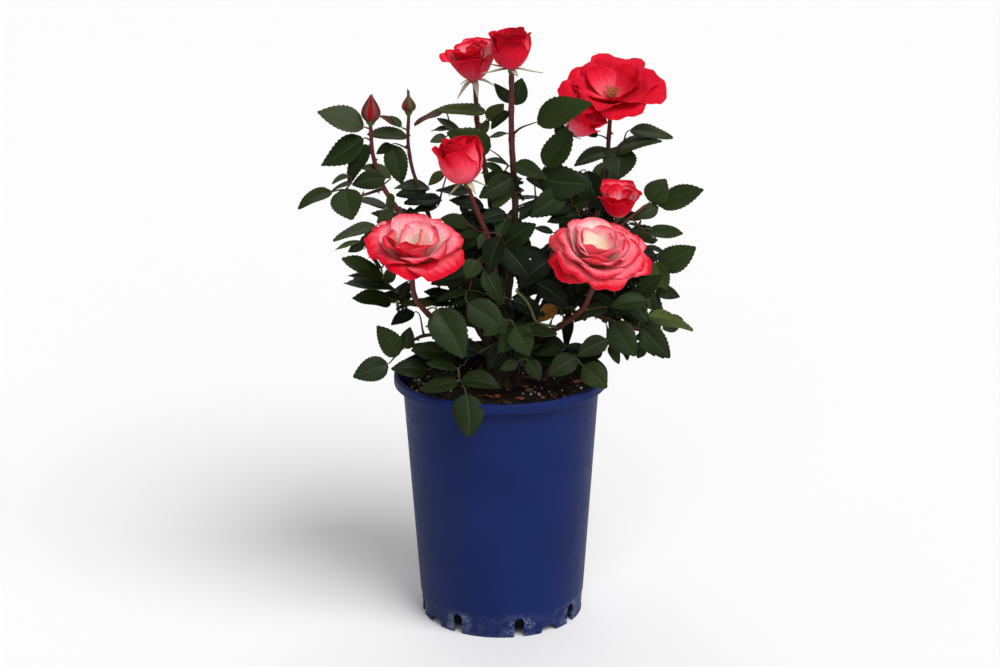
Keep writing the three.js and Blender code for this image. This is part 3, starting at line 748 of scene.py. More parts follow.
# Blade colours, above and below, and how rough the upper side is
LEAF_TINTS = {
    "deep": ((0.0115, 0.0200, 0.0055), (0.032, 0.044, 0.019), 0.36),
    "dark": ((0.0062, 0.0110, 0.0044), (0.022, 0.030, 0.014), 0.42),
    "mid": ((0.0180, 0.0310, 0.0075), (0.040, 0.055, 0.025), 0.32),
    "gloss": ((0.0130, 0.0250, 0.0060), (0.038, 0.054, 0.023), 0.24),
    "grey": ((0.0340, 0.0480, 0.0190), (0.054, 0.072, 0.038), 0.40),
    "olive": ((0.031, 0.043, 0.0095), (0.062, 0.070, 0.022), 0.40),
    "lime": ((0.078, 0.104, 0.021), (0.100, 0.135, 0.036), 0.42),
    "young": ((0.070, 0.023, 0.012), (0.075, 0.036, 0.020), 0.36),
    "dying": ((0.15, 0.068, 0.012), (0.14, 0.07, 0.02), 0.60),
}
TINT_ORDER = list(LEAF_TINTS)
RIB_SLOT = 2 * len(TINT_ORDER)
# Steps along a blade, and the places across it of the grid's lines
BLADE_GRIDS = {
    "fine": (22, (-1, -0.82, -0.55, -0.28, -0.045, 0.045, 0.28, 0.55, 0.82, 1)),
    "plain": (14, (-1, -0.72, -0.36, -0.055, 0.055, 0.36, 0.72, 1)),
}
BLADE = {"thickness": 0.36, "tooth_out": 0.040, "tooth_in": 0.030, "tooth_lean": 0.4, "quilts": 6.5,
         "quilt_slant": 0.31}
BLADE_SHAPE = 0.6  # a leaflet's width as a share of its length


def blade_grid(rows, columns):
    """The fixed part of a blade: its grid, faces, face kinds and map, for both sides and the rim."""
    t, s = np.meshgrid(np.linspace(0.012, 1.0, rows + 1), columns, indexing="ij")
    upper, lower, rim = sheet_faces(*t.shape)
    middle = np.abs(s.ravel()[upper]).max(axis=1) < 0.1
    faces = np.concatenate([upper, lower, rim])
    kinds = np.concatenate([np.where(middle, 2, 0), np.where(middle, 2, 1), np.ones(len(rim), int)])
    map_points = np.column_stack([t.ravel(), s.ravel() / 2 + 0.5])
    return t, s, faces, kinds, np.tile(map_points, (2, 1))[faces]


GRIDS = {kind: blade_grid(*grid) for kind, grid in BLADE_GRIDS.items()}


def blade_half_width(t):
    """Outline of a blade: rounded at the base, widest below the middle and drawn out to a point."""
    return t ** 0.55 * (1 - t) ** 0.92 / 0.406


def leaflet(piece, base, tip, face, width, tint, random, kind="fine"):
    """One serrated blade from its base to its tip; face is the way its upper side looks."""
    t, s, faces, kinds, uv = GRIDS[kind]
    rows = len(t) - 1
    length = np.linalg.norm(tip - base)
    axis = unit(tip - base)
    face = square_to(face, axis)
    side = np.cross(face, axis)
    half = np.maximum(blade_half_width(t), 0.012)
    edge, odd = np.abs(s) == 1, (np.arange(rows + 1) % 2 == 1)[:, None]
    tooth = np.where(odd, BLADE["tooth_out"], -BLADE["tooth_in"]) * edge * (t > 0.08) * (t < 0.99)
    forward = t + np.where(odd, BLADE["tooth_lean"] / rows, 0) * edge * (t < 0.97)
    y = s * half * (1 + tooth) * width / 2
    fold, arch, droop = (random.uniform(*span) for span in ((0.14, 0.48), (0.02, 0.16), (0.0, 0.16)))
    wave = random.uniform(0.01, 0.035) * length
    wave = wave * np.sin(t * random.uniform(5, 9) + s + random.uniform(0, 6)) * s ** 2
    slanted = t - BLADE["quilt_slant"] * np.abs(s)
    quilt = 0.006 * length * np.abs(np.sin(math.pi * BLADE["quilts"] * slanted)) * (1 - s ** 4)
    z = (fold * np.abs(y) * (1 - 0.5 * t) + 4 * arch * length * t * (1 - t) * 0.5
         - droop * width * np.abs(s) ** 3 * half * 0.6 + wave + quilt)
    bend = random.uniform(-0.05, 0.05) * length * np.sin(math.pi * t)
    upper = base + axis * (forward * length)[..., None] + side * (y + bend)[..., None] + face * z[..., None]
    points = np.concatenate([upper, upper - face * BLADE["thickness"]]).reshape(-1, 3)
    place = TINT_ORDER.index(tint)
    piece.add(points, faces, np.array([place, place + len(TINT_ORDER), RIB_SLOT])[kinds], uv)


def leaf_materials():
    above = [leaf_skin(f"leaf_{tint}", colour, rough, 0.10 if tint == "gloss" else 0.07)
             for tint, (colour, _, rough) in LEAF_TINTS.items()]
    below = [leaf_skin(f"leaf_{tint}_under", colour, 0.6, 0.05)
             for tint, (_, colour, _) in LEAF_TINTS.items()]
    return above + below + plain_skins("leaf_rib")


# The leaflets that show at the front, by region and tint; those marked "under" show their lower side. Each
# row: base pixel, tip pixel, depth of base and of tip, width as seen in pixels. Depths are millimetres behind
# the pot's axis.
KEY_LEAFLETS = {
    "left": {
        "grey": [
            (364, 127, 317, 112, -12, -20, 25), (391, 177, 360, 168, -4, -12, 12),
            (401, 127, 390, 116, 24, 26, 7), (349, 176, 332, 184, -28, -34, 6),
            (352, 182, 331, 192, -26, -30, 5), (376, 226, 333, 241, -26, -36, 12),
            (381, 268, 368, 252, -24, -26, 5), (384, 266, 372, 250, -22, -22, 4),
            (387, 283, 394, 264, -22, -20, 13), (396, 292, 344, 283, -24, -38, 12)],
        "deep": [
            (363, 138, 321, 166, -12, -22, 25), (369, 145, 349, 184, -16, -24, 18),
            (385, 178, 352, 185, -20, -26, 21), (391, 144, 376, 154, 20, 16, 10),
            (430, 189, 394, 189, 22, 14, 11), (364, 243, 348, 252, -26, -32, 11),
            (386, 284, 348, 276, -24, -34, 12), (403, 297, 383, 293, -20, -26, 9),
            (407, 349, 410, 327, -52, -50, 16), (427, 370, 391, 369, -52, -60, 20),
            (444, 352, 411, 350, -58, -64, 19)],
        "mid": [
            (407, 137, 367, 134, 20, 14, 14), (392, 145, 402, 184, 22, 16, 25),
            (332, 192, 298, 209, -30, -38, 14), (344, 189, 352, 220, -30, -38, 33),
            (394, 211, 377, 222, -20, -28, 13), (382, 279, 342, 258, -26, -36, 19),
            (391, 303, 352, 298, -26, -36, 18), (398, 356, 377, 326, -54, -58, 24)],
        "young": [
            (398, 126, 379, 116, 24, 20, 7)],
        "olive": [
            (392, 194, 391, 213, -18, -20, 9)],
        "lime": [
            (361, 241, 335, 250, -26, -36, 5)],
        "dark": [
            (414, 312, 391, 325, -24, -34, 14)],
        "gloss": [
            (388, 364, 353, 377, -56, -64, 26)],
    },
    "middle": {
        "gloss": [
            (436, 309, 464, 358, -74, -88, 38), (468, 303, 506, 333, -72, -82, 30)],
        "deep": [
            (458, 381, 420, 390, -80, -88, 17), (460, 381, 501, 389, -80, -88, 18),
            (466, 394, 469, 438, -94, -106, 33), (456, 368, 426, 363, -74, -82, 12),
            (452, 131, 431, 131, 12, 6, 4), (509, 112, 491, 129, 12, 14, 12),
            (514, 105, 522, 78, 20, 26, 21), (511, 103, 494, 83, 18, 22, 12),
            (509, 166, 485, 160, 0, -6, 5), (503, 172, 484, 163, -4, -10, 9),
            (512, 178, 479, 198, -12, -24, 23), (508, 217, 497, 239, -22, -34, 15),
            (507, 242, 536, 224, -26, -34, 24), (479, 231, 444, 237, -28, -36, 15),
            (467, 291, 436, 302, -52, -60, 10), (437, 207, 412, 213, 2, -4, 10),
            (462, 213, 470, 197, -10, -12, 10), (452, 304, 416, 300, -30, -36, 10),
            (562, 341, 536, 338, -30, -36, 9), (484, 270, 502, 305, -58, -62, 20),
            (438, 353, 411, 345, -50, -56, 18), (514, 328, 498, 353, -66, -74, 21),
            (562, 350, 536, 355, -58, -64, 11), (528, 360, 540, 381, -72, -80, 17),
            (518, 362, 500, 370, -70, -76, 12)],
        "olive": [
            (486, 112, 435, 110, 18, 8, 13), (487, 119, 504, 104, 18, 14, 17),
            (513, 181, 493, 210, -8, -20, 19), (445, 171, 428, 186, 4, -6, 10),
            (434, 303, 400, 304, -42, -50, 9)],
        "young": [
            (443, 111, 414, 125, 14, 8, 7)],
        "grey": [
            (461, 133, 437, 118, 14, 10, 9), (446, 137, 430, 142, 6, 0, 10),
            (479, 133, 489, 120, 20, 22, 11), (507, 133, 488, 138, 8, 4, 5),
            (484, 233, 479, 249, -52, -56, 8)],
        "mid": [
            (490, 150, 447, 132, 8, -8, 32), (514, 164, 547, 178, -6, -16, 17),
            (467, 225, 440, 219, -30, -40, 15), (476, 260, 466, 278, -62, -68, 20),
            (508, 320, 483, 335, -78, -84, 15), (607, 308, 574, 322, -56, -66, 14),
            (646, 300, 611, 306, -46, -56, 18), (520, 331, 557, 334, -66, -76, 14),
            (515, 326, 529, 356, -70, -80, 28)],
        "dark": [
            (506, 213, 478, 222, -24, -34, 16), (503, 246, 530, 279, -34, -44, 28),
            (549, 260, 518, 288, -26, -36, 24), (537, 202, 519, 220, -14, -22, 14),
            (545, 288, 576, 262, -24, -30, 22), (538, 283, 567, 306, -40, -48, 23),
            (556, 262, 588, 285, -42, -50, 21), (488, 295, 452, 305, -56, -62, 13),
            (470, 275, 431, 284, -40, -48, 18), (507, 283, 472, 289, -36, -44, 17),
            (426, 191, 396, 195, 14, 6, 14), (441, 200, 404, 203, 6, 0, 14),
            (549, 263, 519, 249, -14, -20, 15), (470, 193, 436, 191, -8, -14, 11),
            (484, 207, 449, 200, -12, -18, 14), (553, 232, 534, 228, -20, -26, 7),
            (573, 205, 533, 217, -10, -18, 15), (580, 216, 547, 222, -14, -22, 15),
            (410, 283, 400, 299, -40, -46, 12), (458, 297, 424, 291, -34, -40, 12),
            (571, 312, 567, 350, -24, -30, 12), (501, 236, 489, 274, -60, -62, 22),
            (478, 352, 446, 345, -58, -64, 18), (460, 366, 436, 352, -48, -52, 14),
            (602, 352, 572, 366, -46, -52, 15), (472, 354, 444, 361, -40, -46, 13),
            (502, 344, 488, 370, -56, -60, 19), (566, 346, 534, 353, -44, -52, 16),
            (560, 343, 530, 344, -36, -42, 11), (558, 360, 529, 358, -52, -58, 12),
            (590, 353, 565, 346, -34, -38, 12), (594, 362, 573, 371, -40, -46, 13),
            (440, 361, 414, 366, -42, -48, 13), (512, 300, 545, 316, -48, -54, 17),
            (518, 356, 498, 372, -62, -68, 15)],
        "dying": [
            (556, 306, 538, 322, -46, -54, 16)],
    },
    "right": {
        "mid": [
            (537, 122, 592, 103, -34, -46, 29), (545, 166, 572, 125, -10, -16, 28),
            (612, 151, 574, 166, 20, 8, 15), (630, 130, 673, 138, 24, 16, 14),
            (613, 152, 662, 141, 20, 8, 15), (650, 202, 666, 179, -6, -4, 27),
            (659, 205, 704, 190, -6, -12, 24), (658, 207, 633, 218, -6, -12, 16),
            (648, 233, 683, 234, -12, -18, 15), (659, 265, 696, 247, -12, -18, 29),
            (610, 345, 619, 364, -30, -34, 12), (583, 366, 607, 388, -62, -74, 26)],
        "deep": [
            (565, 140, 556, 120, 4, 6, 14), (598, 135, 581, 132, 16, 12, 9),
            (620, 147, 617, 180, 18, 2, 36), (538, 178, 592, 184, -6, -18, 36),
            (566, 190, 530, 217, -12, -24, 27), (560, 210, 590, 200, -4, -10, 18),
            (637, 296, 662, 275, -26, -32, 20), (656, 290, 680, 297, -14, -20, 15),
            (627, 300, 649, 322, -30, -38, 18), (652, 291, 658, 313, -16, -20, 11),
            (633, 288, 646, 315, -18, -24, 18), (641, 327, 670, 358, -28, -36, 27),
            (607, 340, 577, 356, -56, -66, 21), (576, 357, 548, 376, -66, -76, 23)],
        "grey": [
            (622, 146, 634, 137, 24, 26, 7)],
        "dark": [
            (586, 171, 600, 211, 2, -6, 25)],
        "olive": [
            (655, 262, 667, 291, -12, -20, 20)],
        "lime under": [
            (647, 317, 693, 331, -26, -34, 15)],
        "gloss": [
            (613, 322, 636, 356, -34, -44, 31)],
    },
}
# Bare shoots that show at the front: pixels that each runs through, from the bottom up, depth, radius, skin
SHOOTS = [(((536, 321), (531, 309), (525, 299), (516, 291)), -66, 1.5, 2),
          (((517, 377), (520, 366), (524, 352)), -24, 1.3, 1),
          (((545, 378), (548, 368), (556, 358)), -28, 1.2, 1)]
ROOM = 2.8  # how near the marks of two blades may lie
ROOM_SHARE = 0.85  # the share of a leaf's marks that have to keep that room
NEARBY = 70.0  # how far round a leaf other blades are looked at
STALK = {"thick": 1.0, "thin": 0.5, "sides": 7, "step": 3.0}


class Network:
    """The limbs and the stalks grown on them so far, as points from which a new stalk can start."""

    def __init__(self, lines):
        self.points = np.vstack(list(lines))
        self.blades = np.zeros((0, 3))

    def nearest(self, point):
        """The place a stalk to this point starts from: near, and rather below it than above."""
        reach = np.linalg.norm(self.points - point, axis=1)
        return self.points[np.argmin(reach + 0.6 * np.maximum(self.points[:, 2] - point[2] + 0.4 * reach, 0))]

    def reach(self, point):
        return np.linalg.norm(self.points - point, axis=1).min()

    def extend(self, line):
        self.points = np.vstack([self.points, line])

    def has_room(self, marks):
        """True if a leaf with these marks stays off the blades that are already there."""
        near = self.blades[(np.abs(self.blades - marks.mean(axis=0)) < NEARBY).all(axis=1)]
        if not len(near):
            return True
        gaps = np.linalg.norm(near[None] - marks[:, None], axis=2)
        return (gaps.min(axis=1) > ROOM).mean() > ROOM_SHARE

    def take(self, marks):
        self.blades = np.vstack([self.blades, marks])


def twig(piece, line, thick, thin, skin):
    """A thin, tapered stalk along a line."""
    piece.add(*tube(line, np.linspace(thick, thin, len(line)), STALK["sides"]), int(skin))


def stalk(piece, network, base, heading):
    """A stalk from the nearest limb or stalk to the base of a blade, arriving along the blade."""
    start = network.nearest(base)
    span = np.linalg.norm(base - start)
    if span < 1.0:
        return
    leave = unit(base - start) + UP * 0.25
    line = bezier(start, start + leave * span * 0.35, base - heading * span * 0.3, base + heading * 0.8,
                  STALK["step"])
    thick = STALK["thick"] * (1 + 0.5 * smooth_step(20, 60, span))
    twig(piece, line, thick, STALK["thin"], base[2] > RED_FROM - 10)
    network.extend(line[1:])


def bare_shoots(stalks, network):
    for pixels, depth, radius, skin in SHOOTS:
        path = [at_pixel(u, v, depth) for u, v in pixels]
        line = curve_through([network.nearest(path[0]), *path], STALK["step"])
        twig(stalks, line, radius, radius * 0.7, skin)
        network.extend(line)


def key_leaflets(region, leaves, stalks, network):
    """The leaflets that show at the front of a region, nearest to the limbs first, each on its stalk."""
    random = random_for("key leaflets " + region)
    waiting = [(at_pixel(u, v, depth), at_pixel(tip_u, tip_v, tip_depth), wide, looks)
               for looks, rows in KEY_LEAFLETS[region].items()
               for u, v, tip_u, tip_v, depth, tip_depth, wide in rows]
    while waiting:
        nearest = int(np.argmin([network.reach(row[0]) for row in waiting]))
        base, tip, wide, looks = waiting.pop(nearest)
        tint, *under = looks.split()
        length, axis = np.linalg.norm(tip - base), unit(tip - base)
        seen = wide * VIEW["distance"] / VIEW["focal_px"]
        width = max(seen, BLADE_SHAPE * length)
        lean = math.acos(min(seen / width, 1.0))
        toward = square_to(EYE - base, axis)
        ways = [turned_round(toward, axis, turn) for turn in (lean, -lean)]
        face = -min(ways, key=lambda way: way[2]) if under else max(ways, key=lambda way: way[2])
        stalk(stalks, network, base, axis)
        leaflet(leaves, base, tip, face, width, tint, random)
        network.take(blade_marks(base, tip, face))


# ---------------------------------------------------------------- foliage grown by rule

# Leaves that each mass gets behind the named leaflets, and the piece they belong to
FILL = {
    "left": {"leaves_left_upper": 0, "leaves_left_inner": 0, "leaves_left_tip": 0, "leaves_left_middle": 0,
             "leaves_left_lower": 2, "leaves_left_low": 1, "leaves_front_left": 7, "leaves_mid_left": 15},
    "middle": {"leaves_rim_left": 6, "leaves_over_rim": 0, "leaves_centre_left": 12, "leaves_top_left": 0,
               "leaves_top_centre": 0, "leaves_centre_upper": 9, "leaves_centre": 16,
               "leaves_front_centre": 10},
    "right": {"leaves_right_upper": 0, "leaves_right_top": 0, "leaves_centre_right_upper": 10,
              "leaves_right_tip": 0, "leaves_right_mid": 3, "leaves_right_low": 4, "leaves_rim_right": 7,
              "leaves_right_inner": 12, "leaves_mid_right": 16},
    "rear_left": {"leaves_rear_left_upper": 16, "leaves_rear_left": 16, "leaves_rear_low": 26},
    "rear_right": {"leaves_rear_right_upper": 18, "leaves_rear_right": 17, "leaves_rear_centre": 16},
}
LEAF = {"stalk": 15.0, "pair_gap": 13.0, "end_size": 40.0, "side_size": 32.0, "splay": 62.0, "spread": 1.3,
        "share_inside": 0.8}
FILL_TRIES = 60
FILL_TINTS = {"front": (("deep", 0.34), ("dark", 0.56), ("mid", 0.08), ("olive", 0.02)),
              "rear": (("deep", 0.44), ("dark", 0.22), ("mid", 0.26), ("grey", 0.04), ("olive", 0.04))}

# Places where the photograph shows sky through the bush, as pixel boxes: left, top, right, bottom
SKY = [(429, 202, 454, 222), (400, 263, 412, 286), (414, 272, 439, 292), (504, 285, 515, 304),
       (477, 333, 486, 345), (556, 315, 568, 334), (575, 324, 603, 350), (525, 219, 557, 229),
       (533, 229, 554, 246), (525, 260, 544, 268), (482, 274, 488, 286), (447, 284, 457, 292),
       (477, 293, 486, 303), (532, 299, 540, 308), (521, 302, 527, 310), (436, 300, 445, 310),
       (410, 307, 426, 327), (414, 318, 426, 342), (399, 347, 414, 360), (503, 208, 514, 216),
       (577, 203, 587, 211), (521, 184, 535, 197), (475, 201, 491, 209), (415, 60, 468, 100),
       (520, 60, 560, 122), (528, 128, 552, 156), (560, 40, 575, 60), (625, 145, 700, 178),
       (660, 205, 705, 228), (380, 150, 391, 160), (410, 110, 436, 180), (640, 100, 760, 122),
       (468, 85, 474, 100), (560, 158, 572, 166), (240, 190, 331, 262), (240, 262, 340, 276),
       (240, 276, 343, 330), (331, 252, 387, 330), (391, 266, 411, 285), (374, 312, 391, 326),
       (240, 302, 372, 326), (240, 326, 374, 366), (240, 366, 395, 420), (698, 205, 760, 400),
       (685, 272, 760, 300), (682, 300, 760, 314), (694, 312, 760, 334), (673, 332, 760, 400),
       (640, 359, 760, 420), (612, 366, 760, 420), (400, 374, 612, 420)]
# Where the flowers show, so that no grown leaf covers one: centre pixel, radius in pixels, depth. The named
# leaflets are added to these below.
FLOWER_DISCS = [(468, 58, 30, 40), (511, 50, 26, 0), (610, 86, 58, 10), (583, 120, 26, -15),
                (459, 160, 30, -78), (412, 246, 56, -118), (602, 252, 60, -118), (622, 198, 28, -45),
                (371, 108, 18, -15), (409, 100, 14, 20)]


def leaflet_discs():
    """Two discs for each named leaflet."""
    return [(u + (tip_u - u) * share, v + (tip_v - v) * share, wide * size, (depth + tip_depth) / 2)
            for tints in KEY_LEAFLETS.values() for rows in tints.values()
            for u, v, tip_u, tip_v, depth, tip_depth, wide in rows
            for share, size in ((0.35, 0.42), (0.68, 0.34))]


SHOWN = np.array(FLOWER_DISCS + leaflet_discs(), float)
SHOWN_GAP = 6.0  # how far behind what shows a grown leaf has to stay
OTHER_SPREAD = 1.08  # how far past a neighbouring mass a leaf may reach, as a share of its size


def ellipsoid(node):
    low, high = (np.array(corner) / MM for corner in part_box(node))
    return (low + high) / 2, (high - low) / 2


MASSES = {node: ellipsoid(node) for nodes in FILL.values() for node in nodes}


def inside_crown(points, own):
    """True if nearly every point lies in its own mass, or within one of the others."""
    good = np.zeros(len(points), bool)
    for node, (centre, radii) in MASSES.items():
        reach = LEAF["spread"] if node == own else OTHER_SPREAD
        good |= (((points - centre) / (radii * reach)) ** 2).sum(axis=1) < 1
    return good.mean() > LEAF["share_inside"]


def covers_gap_or_flower(points):
    """True if a leaf would show in a gap of the photograph or in front of a flower or a named leaflet."""
    u, v = to_pixel(points).T[..., None]
    left, top, right, bottom = np.transpose(SKY)
    in_gap = (u > left) & (u < right) & (v > top) & (v < bottom)
    near = np.hypot(u - SHOWN[:, 0], v - SHOWN[:, 1]) < SHOWN[:, 2]
    return bool(in_gap.any() or (near & (points[:, 1:2] < SHOWN[:, 3] + SHOWN_GAP)).any())


def compound_leaf(start, heading, sky, size, random):
    """A leaf of five or seven leaflets: the line of its stalk and, for each leaflet, base, tip and face."""
    pairs = 2 if random.uniform() < 0.75 else 3
    length = (LEAF["stalk"] + LEAF["pair_gap"] * pairs) * size
    side = unit(np.cross(sky, heading))
    end = start + unit(heading + UP * 0.1) * length
    stem = bezier(start, start + unit(heading + UP * 0.35) * length * 0.4, end - heading * length * 0.3, end,
                  STALK["step"])
    leaflets = []
    for place in np.linspace(1, LEAF["stalk"] * size / length, pairs + 1)[1:]:
        base = stem[int(place * (len(stem) - 1))]
        for way in (-1, 1):
            splay = math.radians(LEAF["splay"] + random.uniform(-12, 12))
            out = unit(heading * math.cos(splay) + side * way * math.sin(splay) - UP * random.uniform(0, 0.3))
            reach = LEAF["side_size"] * size * random.uniform(0.85, 1.12)
            leaflets.append((base, base + out * reach, sky + side * way * random.uniform(-0.2, 0.3)))
    out = unit(heading - UP * random.uniform(0, 0.4))
    leaflets.append((end, end + out * LEAF["end_size"] * size * random.uniform(0.88, 1.1), sky))
    return stem, leaflets


# Where a blade's marks lie: the share of its length, and of half its width
MARKS = ((0.2, 0), (0.4, -0.75), (0.4, 0.75), (0.55, 0), (0.7, -0.55), (0.7, 0.55), (1.0, 0))


def blade_marks(base, tip, face):
    """Points spread over a blade, by which its place is judged."""
    along = tip - base
    across = np.cross(unit(along), unit(face)) * np.linalg.norm(along) * BLADE_SHAPE / 2
    return np.array([base + along * share + across * way for share, way in MARKS])


def pick_tint(node, random):
    names, weights = zip(*FILL_TINTS["rear" if "_rear_" in node else "front"])
    return names[random.choice(len(names), p=np.array(weights) / sum(weights))]


def fill_mass(node, leaves_wanted, leaves, stalks, network):
    """Spreads leaves over a mass in a spiral, each joined by its stalk to the nearest limb or twig."""
    random = random_for(node)
    centre, radii = MASSES[node]
    for i in range(leaves_wanted):
        for attempt in range(FILL_TRIES):
            rise = 1 - 2 * (i + 0.5) / leaves_wanted + random.uniform(-0.25, 0.25)
            turn = i * GOLDEN_TURN + random.uniform(-0.5, 0.5)
            rise = min(max(rise, -1), 1)
            out = math.sqrt(1 - rise ** 2)
            way = np.array([math.cos(turn) * out, math.sin(turn) * out, rise])
            start = centre - radii * way * random.uniform(-0.2, 0.45)
            outward = unit(start * (1, 1, 0))
            heading = unit(way * (1, 1, 0.7) + outward * 0.2 + random.normal(size=3) * 0.3 - UP * 0.1)
            sky = square_to(UP * 0.62 + outward * 0.55 + random.normal(size=3) * 0.28, heading)
            size = random.uniform(0.8, 1.05) - 0.012 * attempt
            stem, blades = compound_leaf(start, heading, sky, size, random)
            marks = np.vstack([blade_marks(*blade) for blade in blades])
            if inside_crown(marks, node) and network.has_room(marks) and not covers_gap_or_flower(marks):
                break
        else:
            continue
        tint = pick_tint(node, random)
        stalk(stalks, network, start, heading)
        twig(stalks, stem, 0.95, 0.5, start[2] > RED_FROM)
        network.extend(stem)
        network.take(marks)
        for base, tip, face in blades:
            width = np.linalg.norm(tip - base) * random.uniform(0.58, 0.68)
            leaflet(leaves, base, tip, face, width, tint, random, "plain")


def make_foliage(lines):
    network, stalks, materials = Network(lines.values()), Piece("leaf_stalks"), leaf_materials()
    pieces = {region: Piece(f"leaves_{region}_sprays") for region in FILL}
    bare_shoots(stalks, network)
    for region in KEY_LEAFLETS:
        key_leaflets(region, pieces[region], stalks, network)
    for region, masses in FILL.items():
        for node, count in masses.items():
            fill_mass(node, count, pieces[region], stalks, network)
        pieces[region].make(materials, "leaf", list(masses), uv_name="blade")
    stalks.make(plain_skins("stalk_green", "stalk_red", "shoot_green"), "cane")


# ---------------------------------------------------------------- flowers

CREAM, BLUSH, CORAL = (0.97, 0.80, 0.66), (0.95, 0.38, 0.44), (0.95, 0.11, 0.16)
# Painted glow: a red-orange that stands in for light shining through and bouncing between the petals in their
# shade
PAINTED_GLOW = (0.96, 0.20, 0.12)  # deep between the petals of an open flower
PINK = (0.98, 0.15, 0.20)
ROSE, RED, CRIMSON = (0.78, 0.018, 0.050), (0.58, 0.005, 0.020), (0.30, 0.002, 0.008)
RAMP_STOPS = (0, 0.35, 0.72, 1)

# seat and facing as in the imported model. petals: how many. close and spread: the angle from the flower's axis
# at four places along an innermost and an outermost petal. For those two, sizes: length and width, and curl:
# radius across. lip: how far the tip rolls back. ruffle: how wavy it is. lift: height of the petals over the
# seat. inside and outside: colours from base to lip on a petal's two faces. pale: how much paler the inner
# petals are. warm: how much redder the outer ones are. pale_side: which way the pale petals lie, in degrees
# round the flower (90 at its back), how much paler they are, and how much redder the petals across from them.
# wild: how uneven the angles are. edge: how much redder a petal's edge is. glow: how much painted glow, in
# place of light shining through and bouncing between the petals, fills the shaded depth between them. heart:
# how far the innermost petals lie from the middle.
FLOWER = dict(pale=0.0, wild=1, warm=0, edge=0.35, painted_glow=0, heart=(0, 0, 0), stamens=False)
FLOWERS = {
    "bloom_top_left": dict(
        seat=(-22, 45, 499), facing=(-0.14, -0.24, 0.95), petals=14, close=(22, 0, -14, -6),
        spread=(68, 38, 22, 58), sizes=((30, 26), (45, 42)), curl=(8, 25), ruffle=1.2, lip=3.0, lift=6.0,
        pale_side=(60, 0.4, 0), wild=2.4, inside=(CREAM, BLUSH, ROSE, RED), outside=(CORAL, ROSE, RED, RED),
        sepals="cup"),
    "bloom_top_centre": dict(
        seat=(11, 5, 516), facing=(0, -0.1, 1), petals=18, close=(24, 4, -14, -14),
        spread=(88, 34, -14, 30), sizes=((35, 26), (40, 40)), curl=(7, 20), ruffle=0.9, lip=2.4, lift=6.0,
        pale_side=(0, 0.7, 0), inside=(CREAM, CORAL, ROSE, RED), outside=(CORAL, ROSE, RED, CRIMSON),
        sepals="flat"),
    "bloom_right_large": dict(
        seat=(102, 30, 482), facing=(0.02, -0.46, 0.89), petals=14, close=(72, 54, 30, 8),
        spread=(60, 74, 80, 102), sizes=((31, 33), (52, 59)), curl=(18, 60), ruffle=2.4, lip=4.6, lift=9.5,
        pale_side=(160, 0.16, 0), inside=(CORAL, ROSE, RED, RED), outside=(BLUSH, ROSE, RED, RED),
        stamens=True, sepals="under"),
    "bloom_right_under": dict(
        seat=(61, -4, 462), facing=(0.62, -0.25, 0.74), petals=12, close=(20, 4, -10, -4),
        spread=(70, 38, 20, 60), sizes=((24, 20), (38, 38)), curl=(7, 22), ruffle=0.8, lip=2.0, lift=3.5,
        pale_side=(180, 0.3, 0), inside=(CREAM, CORAL, ROSE, RED), outside=(BLUSH, CORAL, ROSE, RED),
        sepals="close"),
    "bloom_middle": dict(
        seat=(-28, -57, 426), facing=(-0.23, -0.08, 0.97), petals=18, close=(20, 2, -10, -20),
        spread=(86, 34, -12, 2), sizes=((42, 30), (45, 44)), curl=(7, 22), ruffle=0.7, lip=2.6, lift=6.0,
        pale_side=(20, 0.25, 0), inside=(BLUSH, CORAL, ROSE, RED), outside=(ROSE, CORAL, ROSE, RED),
        sepals="cup"),
    "bloom_left_low": dict(
        seat=(-78, -80, 352), facing=(0.04, -0.35, 0.94), petals=20, close=(34, 12, -4, -2),
        spread=(40, 62, 86, 120), sizes=((38, 34), (52, 57)), curl=(16, 60), ruffle=2.2, lip=3.8, lift=11.0,
        pale=0.55, pale_side=(50, 0.45, 0.40), wild=2.0, warm=0.25, edge=0.24, painted_glow=0.75,
        inside=(CREAM, BLUSH, PINK, RED), outside=(BLUSH, PINK, CORAL, RED), sepals="under"),
    "bloom_right_low": dict(
        seat=(82, -78, 340), facing=(0.22, -0.40, 0.89), petals=26, close=(46, 24, 8, 4),
        spread=(48, 68, 84, 104), sizes=((35, 32), (51, 54)), curl=(17, 80), ruffle=2.0, lip=3.4, lift=17.5,
        pale=0.6, pale_side=(115, 0.50, 0.05), wild=1.7, warm=0.22, edge=0.26, painted_glow=0.9, heart=(-7, 8, 4),
        inside=(CREAM, BLUSH, PINK, RED), outside=(BLUSH, PINK, PINK, CORAL), stamens=True, sepals="under"),
    "bloom_right_small": dict(
        seat=(106, -28, 391), facing=(0.10, -0.22, 0.97), petals=8, close=(34, 18, 8, 12),
        spread=(74, 42, 18, 40), sizes=((26, 28), (33, 44)), curl=(11, 22), ruffle=1.5, lip=2.4, lift=2.5,
        pale_side=(60, 0.4, 0), inside=(CREAM, BLUSH, ROSE, RED), outside=(BLUSH, ROSE, RED, RED),
        sepals="close"),
}
PETAL = {"rows": 16, "columns": 13, "thickness": 0.4, "claw": 0.26, "hip": 7.0, "hip_radius": 3.4, "fine": 80}
PLACES = (0, 0.35, 0.75, 1)  # where along a petal its angles are given


def flower_frame(facts):
    """A flower's seat, and the directions of its own frame."""
    axis = unit(facts["facing"])
    side = square_to(np.array([1.0, 0.0, 0.0]), axis)
    return np.array(facts["seat"], float), np.array([side, np.cross(axis, side), axis])


def bent(places, angles, steps):
    """A line of even steps, with its angles from the axis given at some places: angles, way out, way up."""
    bend = np.radians(np.interp(np.linspace(0, 1, steps + 1), places, angles))
    return bend, *(np.concatenate([[0], np.cumsum(part(bend[1:]))]) for part in (np.sin, np.cos))


def along_and_across(rows, columns):
    """How far along and how far across each point of a grid lies, from 0 to 1 and from -1 to 1."""
    return np.meshgrid(np.linspace(0, 1, rows), np.linspace(-1, 1, columns), indexing="ij")


